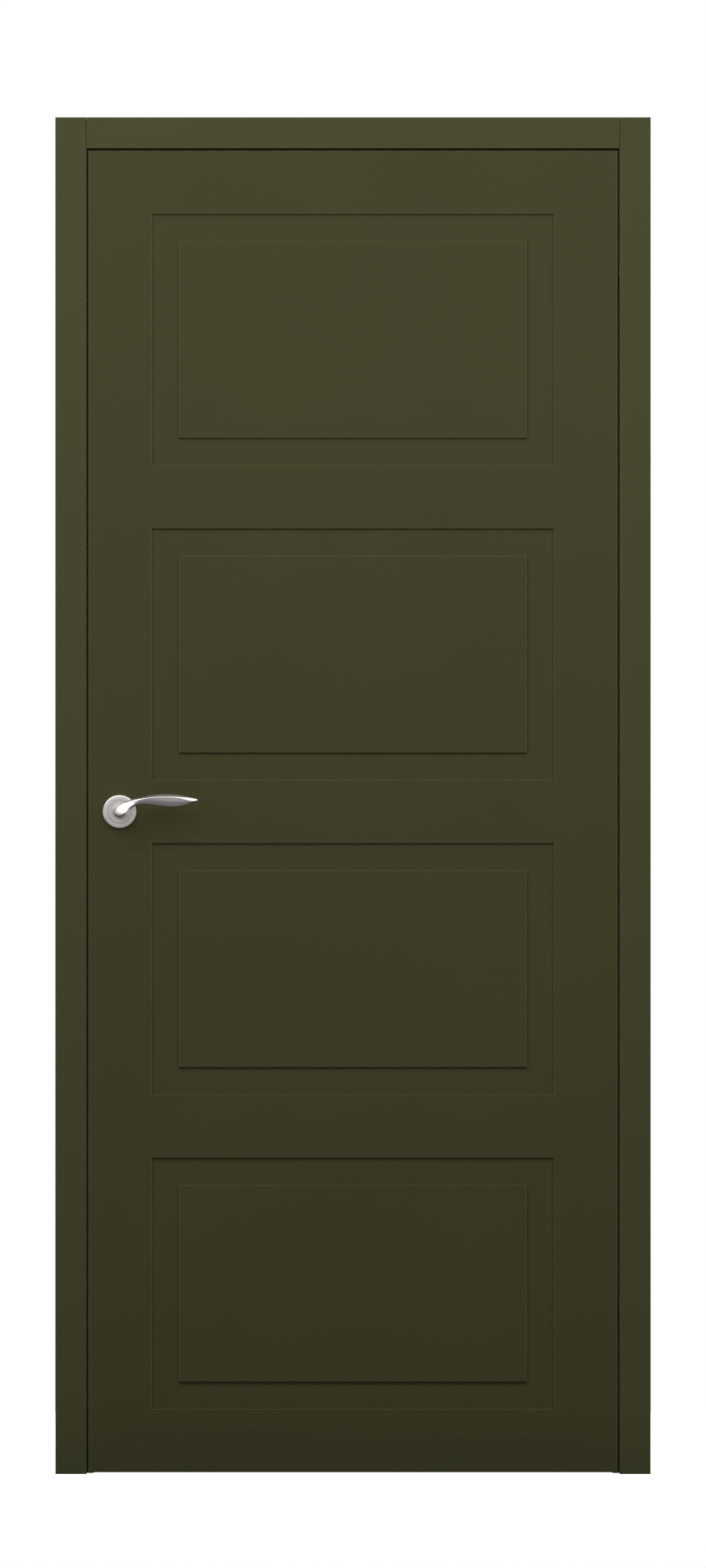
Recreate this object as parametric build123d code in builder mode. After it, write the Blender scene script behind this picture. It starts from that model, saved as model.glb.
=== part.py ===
from build123d import *
import math
import os

# Interior door with its frame, in millimetres.
# X runs from the lock side to the hinge side, Y from the front to the back, Z up.
# The origin is on the floor, in the middle of the leaf's width and thickness.

# Leaf
leaf_width = 800.0
leaf_height = 2000.0
leaf_thickness = 44.0
skin_thickness = 10.0
face_margin = 96.0
panel_count = 4
channel_width = 41.0
channel_depth = 5.0
arris_radius = 1.0
lock_stile_width = 96.0
hinge_stile_width = 60.0
end_rail_width = 60.0
core_board_count = 4
core_board_joint = 0.2
lock_block_height = 260.0
glue_line = 0.05

# Gaps round the leaf
side_gap = 3.3
top_gap = 3.8
floor_gap = 2.7
stop_gap = 4.0

# Frame
casing_width = 47.0
casing_thickness = 12.0
casing_arris = 0.5
casing_joint = 0.3
lining_thickness = 28.0
lining_depth = 76.0
stop_step = 10.0

# Seals in the stops
seal_width = 8.0
seal_inset = 0.8
seal_stem_width = 2.0
seal_stem_length = 5.6
seal_groove_clearance = 0.2
seal_running_gap = 0.3
seal_end_gap = 0.5
seal_round = 1.5

# Fixing holes through the side linings
fixing_count = 4
fixing_pitch = 400.0
fixing_first_height = 400.0
fixing_hole_radius = 3.0
fixing_head_radius = 6.0
fixing_behind_face = 28.0

# Screws that hold the head on the legs
corner_screw_radius = 2.5
corner_screw_head_radius = 5.0
corner_screw_length = 78.0
corner_screw_front = 16.0
corner_screw_back = 56.0

# Concealed hinges: the turning point of the leaf lies in the air in front of the gap
hinge_from_bottom = 237.3
hinge_from_top = 200.0
pivot_in_front = 3.0
arm_across = 5.1
arm_back = 14.0
arm_scale = 1.6
arm_height = 12.5
arm_clearance = 0.4
arm_width = 5.0
eye_radius = 3.5
hinge_pin_radius = 2.0
hinge_pin_seat = 4.0
link_pin_inset = 0.5
housing_height = 112.0
housing_width = 35.0
housing_depth = 12.5
housing_wall = 1.6
pocket_depth = 10.6
housing_behind_pivot = 24.5
housing_screw_offset = 40.0
housing_screw_radius = 2.2
housing_screw_head_radius = 4.4
housing_screw_length = 22.0

# Handle
handle_height = 1000.0
backset = 47.0
rose_radius = 26.0
rose_height = 8.0
rose_wall = 1.4
rose_rim_round = 1.6
rose_groove_radius = 17.5
rose_groove_width = 0.8
rose_groove_depth = 0.5
rose_base_height = 6.0
rose_bolt_offset = 19.0
rose_bolt_radius = 2.5
rose_bolt_head_radius = 4.0
rose_bolt_head_height = 2.5
neck_radius = 8.0
neck_inset = 1.0
neck_reach = 52.0
neck_end_round = 5.0
lever_reach = 56.0
spindle_width = 8.0
spindle_length = 112.0
spindle_bore_depth = 36.0
grub_radius = 2.5
grub_from_face = 14.0

# Grip of the lever, as stations along it, measured from the rose centre:
# along, up, width, slope in degrees, ridge forward of the mid plane, back behind it
grip_stations = [
    (1.5, 1.2, 16.0, 52.0, 4.0, 8.0),
    (10.7, 8.1, 12.6, 42.0, 4.5, 6.0),
    (20.3, 13.0, 11.4, 24.0, 4.8, 4.6),
    (32.5, 16.3, 11.0, 12.0, 5.0, 4.0),
    (48.8, 18.2, 14.9, 3.0, 5.0, 3.6),
    (62.0, 18.0, 17.2, 0.0, 5.0, 3.4),
    (75.0, 17.4, 18.7, 0.0, 4.9, 3.2),
    (88.0, 17.0, 18.0, 0.0, 4.6, 3.0),
    (98.0, 17.0, 14.6, 0.0, 4.0, 2.7),
    (108.0, 17.4, 9.0, 0.0, 3.0, 2.2),
    (115.0, 17.8, 4.3, 0.0, 2.0, 1.6),
    (119.2, 18.0, 1.2, 0.0, 1.0, 0.8),
]
grip_mid_from_front = 5.0
grip_ridge_share = 0.22
grip_face_bulge = 0.35

# Latch, let into the lock stile
forend_height = 200.0
forend_width = 20.0
forend_thickness = 3.0
forend_above_handle = 25.0
forend_screw_offset = 88.0
forend_screw_radius = 1.9
forend_screw_head_radius = 3.8
forend_screw_length = 22.0
case_height = 124.0
case_depth = 79.0
case_thickness = 15.0
case_wall = 1.5
case_below_handle = 36.0
tongue_above_handle = 45.0
tongue_height = 30.0
tongue_thickness = 10.0
tongue_length = 28.0
tongue_round = 2.0
tongue_travel = 9.5
tail_thickness = 3.0
tail_height = 26.0
follower_radius = 10.5
follower_journal_radius = 8.0
follower_arm_reach = 17.0
follower_arm_width = 7.0
follower_arm_thickness = 3.5
follower_pin_radius = 2.5
follower_pin_end = 1.0
lever_turn = 40.0
tail_hook_width = 4.0
tail_hook_drop = 8.0

# Strike, let into the lock lining
strike_height = 96.0
strike_width = 18.0
strike_thickness = 2.0
strike_screw_offset = 37.0
strike_screw_radius = 2.0
strike_screw_head_radius = 4.0
strike_screw_length = 20.0
strike_box_depth = 12.0
strike_box_wall = 1.5
magnet_thickness = 3.0
magnet_height = 20.0

# Fits
mortise_fit = 0.15
seat_clearance = 0.02
running_clearance = 0.08
guide_clearance = 0.4
strike_clearance = 1.0

# Places worked out from the sizes above
leaf_half = leaf_thickness / 2
core_thickness = leaf_thickness - 2 * skin_thickness
core_half = core_thickness / 2
leaf_edge = leaf_width / 2
leaf_top = floor_gap + leaf_height
leaf_middle = floor_gap + leaf_height / 2
rebate_x = leaf_edge + side_gap
rebate_z = leaf_top + top_gap
stop_x = rebate_x - stop_step
stop_z = rebate_z - stop_step
outer_x = rebate_x + lining_thickness
outer_z = rebate_z + lining_thickness
frame_top = rebate_z + casing_width
lining_front = -leaf_half + casing_thickness
lining_back = lining_front + lining_depth
lining_middle = (lining_front + lining_back) / 2
stop_y = leaf_half + stop_gap
stop_width = lining_back - stop_y
stop_middle = (stop_y + lining_back) / 2
handle_z = floor_gap + handle_height
hub_x = -leaf_edge + backset
tongue_z = handle_z + tongue_above_handle
pivot_x = leaf_edge + side_gap / 2
pivot_y = -leaf_half - pivot_in_front
hinge_levels = {"lower": floor_gap + hinge_from_bottom, "upper": leaf_top - hinge_from_top}
stack_height = 4 * arm_height + 3 * arm_clearance
pocket_height = stack_height + 2 * arm_clearance
pocket_width = housing_width - 2 * housing_wall
housing_y = pivot_y + housing_behind_pivot
hinge_pin_length = pocket_height + 2 * hinge_pin_seat

top_aligned = (Align.CENTER, Align.CENTER, Align.MAX)


def inward_plane(x, y, z, side):
    """Plane at a point, looking along X away from the given side, +1 for the hinge side."""
    return Plane(origin=(x, y, z), x_dir=(0, 1, 0), z_dir=(-side, 0, 0))


def closed_point(i, j):
    """Plan position of a hinge pin with the door closed: i frame steps and j leaf steps."""
    return (pivot_x + (i - j) * arm_across, pivot_y + (i + j) * arm_back)


def layer_bottom(hinge_z, layer):
    """Underside of one of the four arm layers of a hinge, counted from the bottom."""
    return hinge_z - stack_height / 2 + layer * (arm_height + arm_clearance)


def screw_row(planes, shank_radius, head_radius, length):
    """Countersunk screws, each with its head flush with a plane and its shank below it."""
    with BuildPart() as screws:
        with Locations(*planes):
            Cylinder(shank_radius, length, align=top_aligned)
            Cone(shank_radius, head_radius, head_radius - shank_radius, align=top_aligned)
    return screws


def housing_screw_planes(face_x, side):
    """Planes of the hinge screws in one edge, for both hinges."""
    return [
        inward_plane(face_x, housing_y, hinge_z + end * housing_screw_offset, side)
        for hinge_z in hinge_levels.values()
        for end in (-1, 1)
    ]


def cut_hinge_mortises(face_x, side):
    """Cut both hinge mortises into the part being built."""
    with BuildSketch(Plane.YZ.offset(face_x)) as mortises:
        with Locations(*[(housing_y, hinge_z) for hinge_z in hinge_levels.values()]):
            SlotOverall(
                housing_height + 2 * mortise_fit, housing_width + 2 * mortise_fit, rotation=90
            )
    extrude(mortises.sketch, amount=side * (housing_depth + mortise_fit), mode=Mode.SUBTRACT)


def cut_screw_holes(planes, radius, length):
    """Cut pilot holes for screws that stand on the given planes."""
    with Locations(*planes):
        Cylinder(radius + seat_clearance, length, align=top_aligned, mode=Mode.SUBTRACT)


# Leaf skins, each milled with wide flat channels that leave raised fields
panel_pitch = (leaf_height - face_margin) / panel_count
panel_height = panel_pitch - face_margin
panel_width = leaf_width - 2 * face_margin
panel_centres = [
    (0, floor_gap + face_margin + panel_height / 2 + row * panel_pitch)
    for row in range(panel_count)
]


def leaf_skin(face):
    """Milled skin on one face of the leaf, -1 for the front and +1 for the back."""
    with BuildPart() as skin:
        with BuildSketch(Plane.XZ.offset(-face * core_half)):
            with Locations((0, leaf_middle)):
                Rectangle(leaf_width, leaf_height)
        extrude(amount=-face * skin_thickness)
        with BuildSketch(Plane.XZ.offset(-face * leaf_half)):
            with Locations(*panel_centres):
                Rectangle(panel_width, panel_height)
                Rectangle(
                    panel_width - 2 * channel_width,
                    panel_height - 2 * channel_width,
                    mode=Mode.SUBTRACT,
                )
        extrude(amount=face * channel_depth, mode=Mode.SUBTRACT)
        show_faces = skin.faces().filter_by(Axis.Y).group_by(Axis.Y)[0 if face < 0 else -1]
        fillet(show_faces.edges(), arris_radius)
        cut_hinge_mortises(leaf_edge, -1)
        with Locations(Plane.XZ.offset(-face * leaf_half)):
            with Locations((hub_x, handle_z)):
                Hole(neck_radius + guide_clearance)
            with Locations(*[(hub_x + s * rose_bolt_offset, handle_z) for s in (-1, 1)]):
                Hole(rose_bolt_radius + guide_clearance)
    return skin


front_skin = leaf_skin(-1)
back_skin = leaf_skin(1)

# Inner frame of the leaf: two stiles, two rails and the core boards between them
forend_z = handle_z + forend_above_handle
forend_screw_planes = [
    inward_plane(-leaf_edge, 0, forend_z + end * forend_screw_offset, 1) for end in (-1, 1)
]
case_bottom = handle_z - case_below_handle
case_middle = case_bottom + case_height / 2

block_bottom = forend_z - lock_block_height / 2
block_top = forend_z + lock_block_height / 2


def stile_length(bottom, top):
    """Plain length of the lock stile between two heights."""
    with BuildSketch(Plane.XY.offset(bottom)) as stile_section:
        with Locations((-leaf_edge, 0)):
            Rectangle(lock_stile_width, core_thickness, align=(Align.MIN, Align.CENTER))
    extrude(stile_section.sketch, amount=top - bottom)


with BuildPart() as lock_stile:
    stile_length(floor_gap, block_bottom - glue_line)
    stile_length(block_top + glue_line, leaf_top)

# Block let into the stile's length, which takes the latch and the handle
with BuildPart() as lock_block:
    stile_length(block_bottom, block_top)
    with BuildSketch(Plane.YZ.offset(-leaf_edge)):
        with Locations((0, forend_z)):
            SlotOverall(
                forend_height + 2 * mortise_fit, forend_width + 2 * mortise_fit, rotation=90
            )
    extrude(amount=forend_thickness + mortise_fit, mode=Mode.SUBTRACT)
    with BuildSketch(Plane.YZ.offset(-leaf_edge)):
        with Locations((0, case_middle)):
            Rectangle(case_thickness + 2 * mortise_fit, case_height + 2 * mortise_fit)
    extrude(amount=forend_thickness + case_depth + mortise_fit, mode=Mode.SUBTRACT)
    with Locations(Plane.XZ):
        with Locations((hub_x, handle_z)):
            Hole(neck_radius + guide_clearance)
        with Locations(*[(hub_x + s * rose_bolt_offset, handle_z) for s in (-1, 1)]):
            Hole(rose_bolt_radius + guide_clearance)
    cut_screw_holes(forend_screw_planes, forend_screw_radius, forend_screw_length)

with BuildPart() as hinge_stile:
    with BuildSketch(Plane.XY.offset(floor_gap)):
        with Locations((leaf_edge, 0)):
            Rectangle(hinge_stile_width, core_thickness, align=(Align.MAX, Align.CENTER))
    extrude(amount=leaf_height)
    cut_hinge_mortises(leaf_edge, -1)
    cut_screw_holes(
        housing_screw_planes(leaf_edge, -1), housing_screw_radius, housing_screw_length
    )

core_left = -leaf_edge + lock_stile_width
core_right = leaf_edge - hinge_stile_width
core_centre = (core_left + core_right) / 2
core_width = core_right - core_left


def end_rail(bottom):
    """Rail between the stiles, with its underside at the given height."""
    with BuildPart() as rail:
        with BuildSketch(Plane.XY.offset(bottom)):
            with Locations((core_centre, 0)):
                Rectangle(core_width, core_thickness)
        extrude(amount=end_rail_width)
    return rail


bottom_rail = end_rail(floor_gap)
top_rail = end_rail(leaf_top - end_rail_width)

core_board_height = (leaf_height - 2 * end_rail_width) / core_board_count
with BuildPart() as core_boards:
    for row in range(core_board_count):
        board_bottom = floor_gap + end_rail_width + row * core_board_height
        with BuildSketch(Plane.XY.offset(board_bottom + core_board_joint / 2)):
            with Locations((core_centre, 0)):
                Rectangle(core_width, core_thickness)
        extrude(amount=core_board_height - core_board_joint)

# Linings: side legs under a head that lies across them, all with planted stops
fixing_heights = [fixing_first_height + row * fixing_pitch for row in range(fixing_count)]
fixing_y = -leaf_half + fixing_behind_face
seal_x = rebate_x - seal_inset - seal_width / 2
seal_z = rebate_z - seal_inset - seal_width / 2
groove_width = seal_stem_width + 2 * seal_groove_clearance
groove_depth = seal_stem_length + seal_groove_clearance


def lining_leg(side):
    """Board of a side lining with its fixing holes, +1 for the hinge side, -1 for the lock."""
    with BuildPart() as leg:
        with BuildSketch(Plane.XY):
            with Locations((side * (rebate_x + outer_x) / 2, lining_middle)):
                Rectangle(lining_thickness, lining_depth)
        extrude(amount=rebate_z)
        for height in fixing_heights:
            with Locations(inward_plane(side * rebate_x, fixing_y, height, side)):
                CounterSinkHole(fixing_hole_radius, fixing_head_radius, depth=lining_thickness)
    return leg


def leg_stop(side):
    """Planted stop of a side lining, grooved for its seal."""
    with BuildPart() as stop:
        with BuildSketch(Plane.XY):
            with Locations((side * (stop_x + rebate_x - glue_line) / 2, stop_middle)):
                Rectangle(stop_step - glue_line, stop_width)
            with Locations((side * seal_x, stop_y)):
                Rectangle(
                    groove_width,
                    groove_depth,
                    align=(Align.CENTER, Align.MIN),
                    mode=Mode.SUBTRACT,
                )
        extrude(amount=stop_z - glue_line)
    return stop


def corner_screw_planes():
    """Planes on top of the head where its four screws go down into the legs."""
    screw_x = (rebate_x + outer_x) / 2
    return [
        Plane.XY.offset(outer_z).move(Location((side * screw_x, lining_front + back, 0)))
        for side in (-1, 1)
        for back in (corner_screw_front, corner_screw_back)
    ]


with BuildPart() as hinge_jamb:
    add(lining_leg(1).part)
    cut_hinge_mortises(rebate_x, 1)
    cut_screw_holes(
        housing_screw_planes(rebate_x, 1), housing_screw_radius, housing_screw_length
    )
    cut_screw_holes(corner_screw_planes(), corner_screw_radius, corner_screw_length)
    add(leg_stop(1).part)

strike_screw_planes = [
    inward_plane(-rebate_x, 0, tongue_z + end * strike_screw_offset, -1) for end in (-1, 1)
]
strike_hole_width = tongue_thickness + 2 * strike_clearance
strike_hole_height = tongue_height + 2 * strike_clearance
box_width = strike_hole_width + 2 * strike_box_wall
box_height = strike_hole_height + 2 * strike_box_wall

with BuildPart() as lock_jamb:
    add(lining_leg(-1).part)
    with BuildSketch(Plane.YZ.offset(-rebate_x)):
        with Locations((0, tongue_z)):
            SlotOverall(strike_height + 2 * mortise_fit, strike_width + 2 * mortise_fit, 90)
    extrude(amount=-strike_thickness - mortise_fit, mode=Mode.SUBTRACT)
    with BuildSketch(Plane.YZ.offset(-rebate_x)):
        with Locations((0, tongue_z)):
            Rectangle(box_width + 2 * mortise_fit, box_height + 2 * mortise_fit)
    extrude(amount=-strike_thickness - strike_box_depth - mortise_fit, mode=Mode.SUBTRACT)
    cut_screw_holes(strike_screw_planes, strike_screw_radius, strike_screw_length)
    cut_screw_holes(corner_screw_planes(), corner_screw_radius, corner_screw_length)
    add(leg_stop(-1).part)

with BuildPart() as head_jamb:
    with BuildSketch(Plane.YZ.offset(-outer_x)):
        with Locations((lining_middle, (rebate_z + outer_z) / 2)):
            Rectangle(lining_depth, lining_thickness)
    extrude(amount=2 * outer_x)
    with Locations(*corner_screw_planes()):
        CounterSinkHole(
            corner_screw_radius + guide_clearance, corner_screw_head_radius + guide_clearance
        )
    with BuildSketch(Plane.YZ.offset(-rebate_x)):
        with Locations((stop_middle, (stop_z + rebate_z - glue_line) / 2)):
            Rectangle(stop_width, stop_step - glue_line)
        with Locations((stop_y, seal_z)):
            Rectangle(
                groove_depth, groove_width, align=(Align.MIN, Align.CENTER), mode=Mode.SUBTRACT
            )
    extrude(amount=2 * rebate_x)

corner_screws = screw_row(
    corner_screw_planes(), corner_screw_radius, corner_screw_head_radius, corner_screw_length
)

# Seals: a rounded bulb that the leaf closes against, held by a stem in the groove
bulb_depth = stop_gap - seal_running_gap


def seal_profile():
    """Section of the seal, with its stem along +Y from the stop face at the origin."""
    with BuildSketch() as profile:
        with Locations((0, -bulb_depth)):
            Rectangle(seal_width, bulb_depth, align=(Align.CENTER, Align.MIN))
        fillet(profile.vertices().group_by(Axis.Y)[0], seal_round)
        Rectangle(seal_stem_width, seal_stem_length, align=(Align.CENTER, Align.MIN))
    return profile.sketch


def leg_seal(side):
    """Seal of one side lining, from the floor to the head's stop."""
    with BuildPart() as seal:
        with BuildSketch(Plane.XY):
            with Locations((side * seal_x, stop_y)):
                add(seal_profile())
        extrude(amount=stop_z)
    return seal


lock_seal = leg_seal(-1)
hinge_seal = leg_seal(1)

with BuildPart() as head_seal:
    head_seal_length = 2 * (rebate_x - seal_end_gap)
    head_seal_plane = Plane(
        origin=(-head_seal_length / 2, stop_y, seal_z), x_dir=(0, 0, -1), z_dir=(1, 0, 0)
    )
    with BuildSketch(head_seal_plane):
        add(seal_profile())
    extrude(amount=head_seal_length)

# Casings: full-height sides with the head casing butted between them


def side_casing(side, inner_y):
    """Side casing that lies on the lining edge at inner_y, away from the wall's middle."""
    outward = -1 if inner_y < 0 else 1
    with BuildPart() as casing:
        with BuildSketch(Plane.XZ.offset(-inner_y)):
            with Locations((side * (rebate_x + casing_width / 2), frame_top / 2)):
                Rectangle(casing_width, frame_top)
        extrude(amount=-outward * casing_thickness)
        show_face = casing.faces().sort_by(Axis.Y)[0 if outward < 0 else -1]
        fillet(show_face.edges().filter_by(Axis.Z), casing_arris)
    return casing


def head_casing(inner_y):
    """Head casing between the side casings, on the lining edge at inner_y."""
    outward = -1 if inner_y < 0 else 1
    with BuildPart() as casing:
        with BuildSketch(Plane.XZ.offset(-inner_y)):
            with Locations((0, rebate_z + casing_width / 2)):
                Rectangle(2 * (rebate_x - casing_joint), casing_width)
        extrude(amount=-outward * casing_thickness)
        show_face = casing.faces().sort_by(Axis.Y)[0 if outward < 0 else -1]
        fillet(show_face.edges(), casing_arris)
    return casing


lock_front_casing = side_casing(-1, lining_front)
with BuildPart() as hinge_front_casing:
    add(side_casing(1, lining_front).part)
    cut_hinge_mortises(rebate_x, 1)
head_front_casing = head_casing(lining_front)
lock_back_casing = side_casing(-1, lining_back)
hinge_back_casing = side_casing(1, lining_back)
head_back_casing = head_casing(lining_back)

# Strike plate, its box and the magnet that draws the latch tongue out
with BuildPart() as strike_plate:
    with BuildSketch(Plane.YZ.offset(-rebate_x)):
        with Locations((0, tongue_z)):
            SlotOverall(strike_height, strike_width, rotation=90)
            Rectangle(strike_hole_width, strike_hole_height, mode=Mode.SUBTRACT)
    extrude(amount=-strike_thickness)
    for plane in strike_screw_planes:
        with Locations(plane):
            CounterSinkHole(
                strike_screw_radius + guide_clearance, strike_screw_head_radius + guide_clearance
            )

with BuildPart() as strike_box:
    with BuildSketch(Plane.YZ.offset(-rebate_x - strike_thickness)):
        with Locations((0, tongue_z)):
            Rectangle(box_width, box_height)
    extrude(amount=-strike_box_depth)
    with BuildSketch(Plane.YZ.offset(-rebate_x - strike_thickness)):
        with Locations((0, tongue_z)):
            Rectangle(strike_hole_width, strike_hole_height)
    extrude(amount=-(strike_box_depth - strike_box_wall), mode=Mode.SUBTRACT)

box_floor_x = -rebate_x - strike_thickness - strike_box_depth + strike_box_wall
with BuildPart() as strike_magnet:
    with BuildSketch(Plane.YZ.offset(box_floor_x)):
        with Locations((0, tongue_z)):
            Rectangle(tongue_thickness, magnet_height)
    extrude(amount=magnet_thickness)

strike_screws = screw_row(
    strike_screw_planes, strike_screw_radius, strike_screw_head_radius, strike_screw_length
)

# Concealed hinges: housings, pins and screws
frame_pins = [closed_point(1, 0), closed_point(arm_scale, 0)]
leaf_pins = [closed_point(0, 1), closed_point(0, arm_scale)]


def hinge_housing(face_x, side, hinge_z, pins):
    """Milled housing let into an edge, with the open pocket that the arms fold into."""
    with BuildPart() as housing:
        with BuildSketch(Plane.YZ.offset(face_x)):
            with Locations((housing_y, hinge_z)):
                SlotOverall(housing_height, housing_width, rotation=90)
        extrude(amount=side * housing_depth)
        with BuildSketch(Plane.YZ.offset(face_x)):
            with Locations((housing_y, hinge_z)):
                Rectangle(pocket_width, pocket_height)
        extrude(amount=side * pocket_depth, mode=Mode.SUBTRACT)
        with BuildSketch(Plane.XY.offset(hinge_z - hinge_pin_length / 2)):
            with Locations(*pins):
                Circle(hinge_pin_radius + seat_clearance)
        extrude(amount=hinge_pin_length, mode=Mode.SUBTRACT)
        for end in (-1, 1):
            screw_z = hinge_z + end * housing_screw_offset
            with Locations(inward_plane(face_x, housing_y, screw_z, side)):
                CounterSinkHole(
                    housing_screw_radius + guide_clearance,
                    housing_screw_head_radius + guide_clearance,
                )
    return housing


def hinge_pins(pins):
    """Fixed pins of both hinges on one side."""
    with BuildPart() as pin_set:
        for hinge_z in hinge_levels.values():
            with BuildSketch(Plane.XY.offset(hinge_z - hinge_pin_length / 2)):
                with Locations(*pins):
                    Circle(hinge_pin_radius)
            extrude(amount=hinge_pin_length)
    return pin_set


frame_hinge_pins = hinge_pins(frame_pins)
leaf_hinge_pins = hinge_pins(leaf_pins)
frame_hinge_screws = screw_row(
    housing_screw_planes(rebate_x, 1),
    housing_screw_radius,
    housing_screw_head_radius,
    housing_screw_length,
)
leaf_hinge_screws = screw_row(
    housing_screw_planes(leaf_edge, -1),
    housing_screw_radius,
    housing_screw_head_radius,
    housing_screw_length,
)

# Arms of the concealed hinges, in four layers that cross without touching.
# Each arm has its pin places as frame and leaf steps, and the fit of its hole there.
running_hole = hinge_pin_radius + running_clearance
seat_hole = hinge_pin_radius + seat_clearance
arm_kinds = {
    "frame_short_arm": (
        0, [(arm_scale, 0, running_hole), (arm_scale, 1, running_hole)]
    ),
    "leaf_long_arm": (
        1, [(0, 1, running_hole), (1, 1, running_hole), (arm_scale, 1, seat_hole)]
    ),
    "frame_long_arm": (
        2, [(1, 0, running_hole), (1, 1, seat_hole), (1, arm_scale, seat_hole)]
    ),
    "leaf_short_arm": (
        3, [(0, arm_scale, running_hole), (1, arm_scale, running_hole)]
    ),
}


def hinge_arm(hinge_z, layer, holes):
    """Straight arm with an eye round each of its holes."""
    centres = [closed_point(i, j) for i, j, _ in holes]
    with BuildPart() as arm:
        with BuildSketch(Plane.XY.offset(layer_bottom(hinge_z, layer))):
            with BuildLine():
                Line(centres[0], centres[-1])
            trace(line_width=arm_width)
            with Locations(*centres):
                Circle(eye_radius)
            for centre, (_, _, radius) in zip(centres, holes):
                with Locations(centre):
                    Circle(radius, mode=Mode.SUBTRACT)
        extrude(amount=arm_height)
    return arm


def link_pins(hinge_z, places):
    """Pins that join two neighbouring arm layers, as steps and the lower layer."""
    with BuildPart() as pin_set:
        for i, j, layer in places:
            bottom = layer_bottom(hinge_z, layer) + link_pin_inset
            length = 2 * arm_height + arm_clearance - 2 * link_pin_inset
            with BuildSketch(Plane.XY.offset(bottom)):
                with Locations(closed_point(i, j)):
                    Circle(hinge_pin_radius)
            extrude(amount=length)
    return pin_set


# Latch: case, cover, forend, tongue and follower
case_front_x = -leaf_edge + forend_thickness
case_centre_x = case_front_x + case_depth / 2
rose_bolt_places = [(hub_x + s * rose_bolt_offset, handle_z) for s in (-1, 1)]
case_half = case_thickness / 2
case_inside = case_half - case_wall

with BuildPart() as latch_case:
    with BuildSketch(Plane.XZ.offset(case_half)):
        with Locations((case_centre_x, case_middle)):
            Rectangle(case_depth, case_height)
    extrude(amount=-(case_thickness - case_wall))
    with BuildSketch(Plane.XZ.offset(case_inside)):
        with Locations((case_centre_x, case_middle)):
            Rectangle(case_depth - 2 * case_wall, case_height - 2 * case_wall)
    extrude(amount=-2 * case_inside, mode=Mode.SUBTRACT)
    with BuildSketch(Plane.YZ.offset(case_front_x)):
        with Locations((0, tongue_z)):
            Rectangle(
                tongue_thickness + 2 * guide_clearance, tongue_height + 2 * guide_clearance
            )
    extrude(amount=case_wall, mode=Mode.SUBTRACT)
    with Locations(Plane.XZ.offset(case_half)):
        with Locations((hub_x, handle_z)):
            Hole(follower_journal_radius + running_clearance)
        with Locations(*rose_bolt_places):
            Hole(rose_bolt_radius + guide_clearance)

with BuildPart() as latch_cover:
    with BuildSketch(Plane.XZ.offset(-case_half)):
        with Locations((case_centre_x, case_middle)):
            Rectangle(case_depth, case_height)
        with Locations((hub_x, handle_z)):
            Circle(follower_journal_radius + running_clearance, mode=Mode.SUBTRACT)
        with Locations(*rose_bolt_places):
            Circle(rose_bolt_radius + guide_clearance, mode=Mode.SUBTRACT)
    extrude(amount=case_wall)

with BuildPart() as forend:
    with BuildSketch(Plane.YZ.offset(-leaf_edge)):
        with Locations((0, forend_z)):
            SlotOverall(forend_height, forend_width, rotation=90)
        with Locations((0, tongue_z)):
            Rectangle(
                tongue_thickness + 2 * guide_clearance,
                tongue_height + 2 * guide_clearance,
                mode=Mode.SUBTRACT,
            )
    extrude(amount=forend_thickness)
    for plane in forend_screw_planes:
        with Locations(plane):
            CounterSinkHole(
                forend_screw_radius + guide_clearance, forend_screw_head_radius + guide_clearance
            )

forend_screws = screw_row(
    forend_screw_planes, forend_screw_radius, forend_screw_head_radius, forend_screw_length
)

# The follower's pin sweeps to the right under the tail; the hook hangs clear beyond it
pin_sweep = follower_arm_reach * math.sin(math.radians(lever_turn))
hook_x = hub_x + pin_sweep + follower_pin_radius + tongue_travel + guide_clearance
tail_bottom = handle_z + follower_arm_reach + follower_arm_width / 2 + guide_clearance
tail_start_x = -leaf_edge + tongue_length
tail_end_x = hook_x + tail_hook_width

with BuildPart() as latch_tongue:
    with BuildSketch(Plane.YZ.offset(-leaf_edge)):
        with Locations((0, tongue_z)):
            Rectangle(tongue_thickness, tongue_height)
    extrude(amount=tongue_length)
    tongue_tip = latch_tongue.faces().sort_by(Axis.X)[0]
    fillet(tongue_tip.edges().filter_by(Axis.Z), tongue_round)
    with BuildSketch(Plane.XZ.offset(tail_thickness / 2)):
        with Locations((tail_start_x, tail_bottom)):
            Rectangle(tail_end_x - tail_start_x, tail_height, align=(Align.MIN, Align.MIN))
        with Locations((hook_x, tail_bottom)):
            Rectangle(tail_hook_width, tail_hook_drop, align=(Align.MIN, Align.MAX))
    extrude(amount=-tail_thickness)

with BuildPart() as follower:
    with BuildSketch(Plane.XZ.offset(case_half)):
        with Locations((hub_x, handle_z)):
            Circle(follower_journal_radius)
    extrude(amount=-case_thickness)
    with BuildSketch(Plane.XZ.offset(case_inside - running_clearance)):
        with Locations((hub_x, handle_z)):
            Circle(follower_radius)
    extrude(amount=-2 * (case_inside - running_clearance))
    with BuildSketch(Plane.XZ.offset(case_inside - running_clearance)):
        with Locations((hub_x, handle_z)):
            Rectangle(
                follower_arm_width, follower_arm_reach, align=(Align.CENTER, Align.MIN)
            )
        with Locations((hub_x, handle_z + follower_arm_reach)):
            Circle(follower_arm_width / 2)
    extrude(amount=-follower_arm_thickness)
    with BuildSketch(Plane.XZ.offset(case_inside - running_clearance)):
        with Locations((hub_x, handle_z + follower_arm_reach)):
            Circle(follower_pin_radius)
    extrude(amount=-(case_inside + tail_thickness / 2 + follower_pin_end))
    with BuildSketch(Plane.XZ.offset(case_half)):
        with Locations((hub_x, handle_z)):
            Rectangle(
                spindle_width + 2 * seat_clearance, spindle_width + 2 * seat_clearance
            )
    extrude(amount=-case_thickness, mode=Mode.SUBTRACT)

# Handle: roses on both faces, levers on a square spindle
rose_base_radius = rose_radius - rose_wall - guide_clearance


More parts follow.
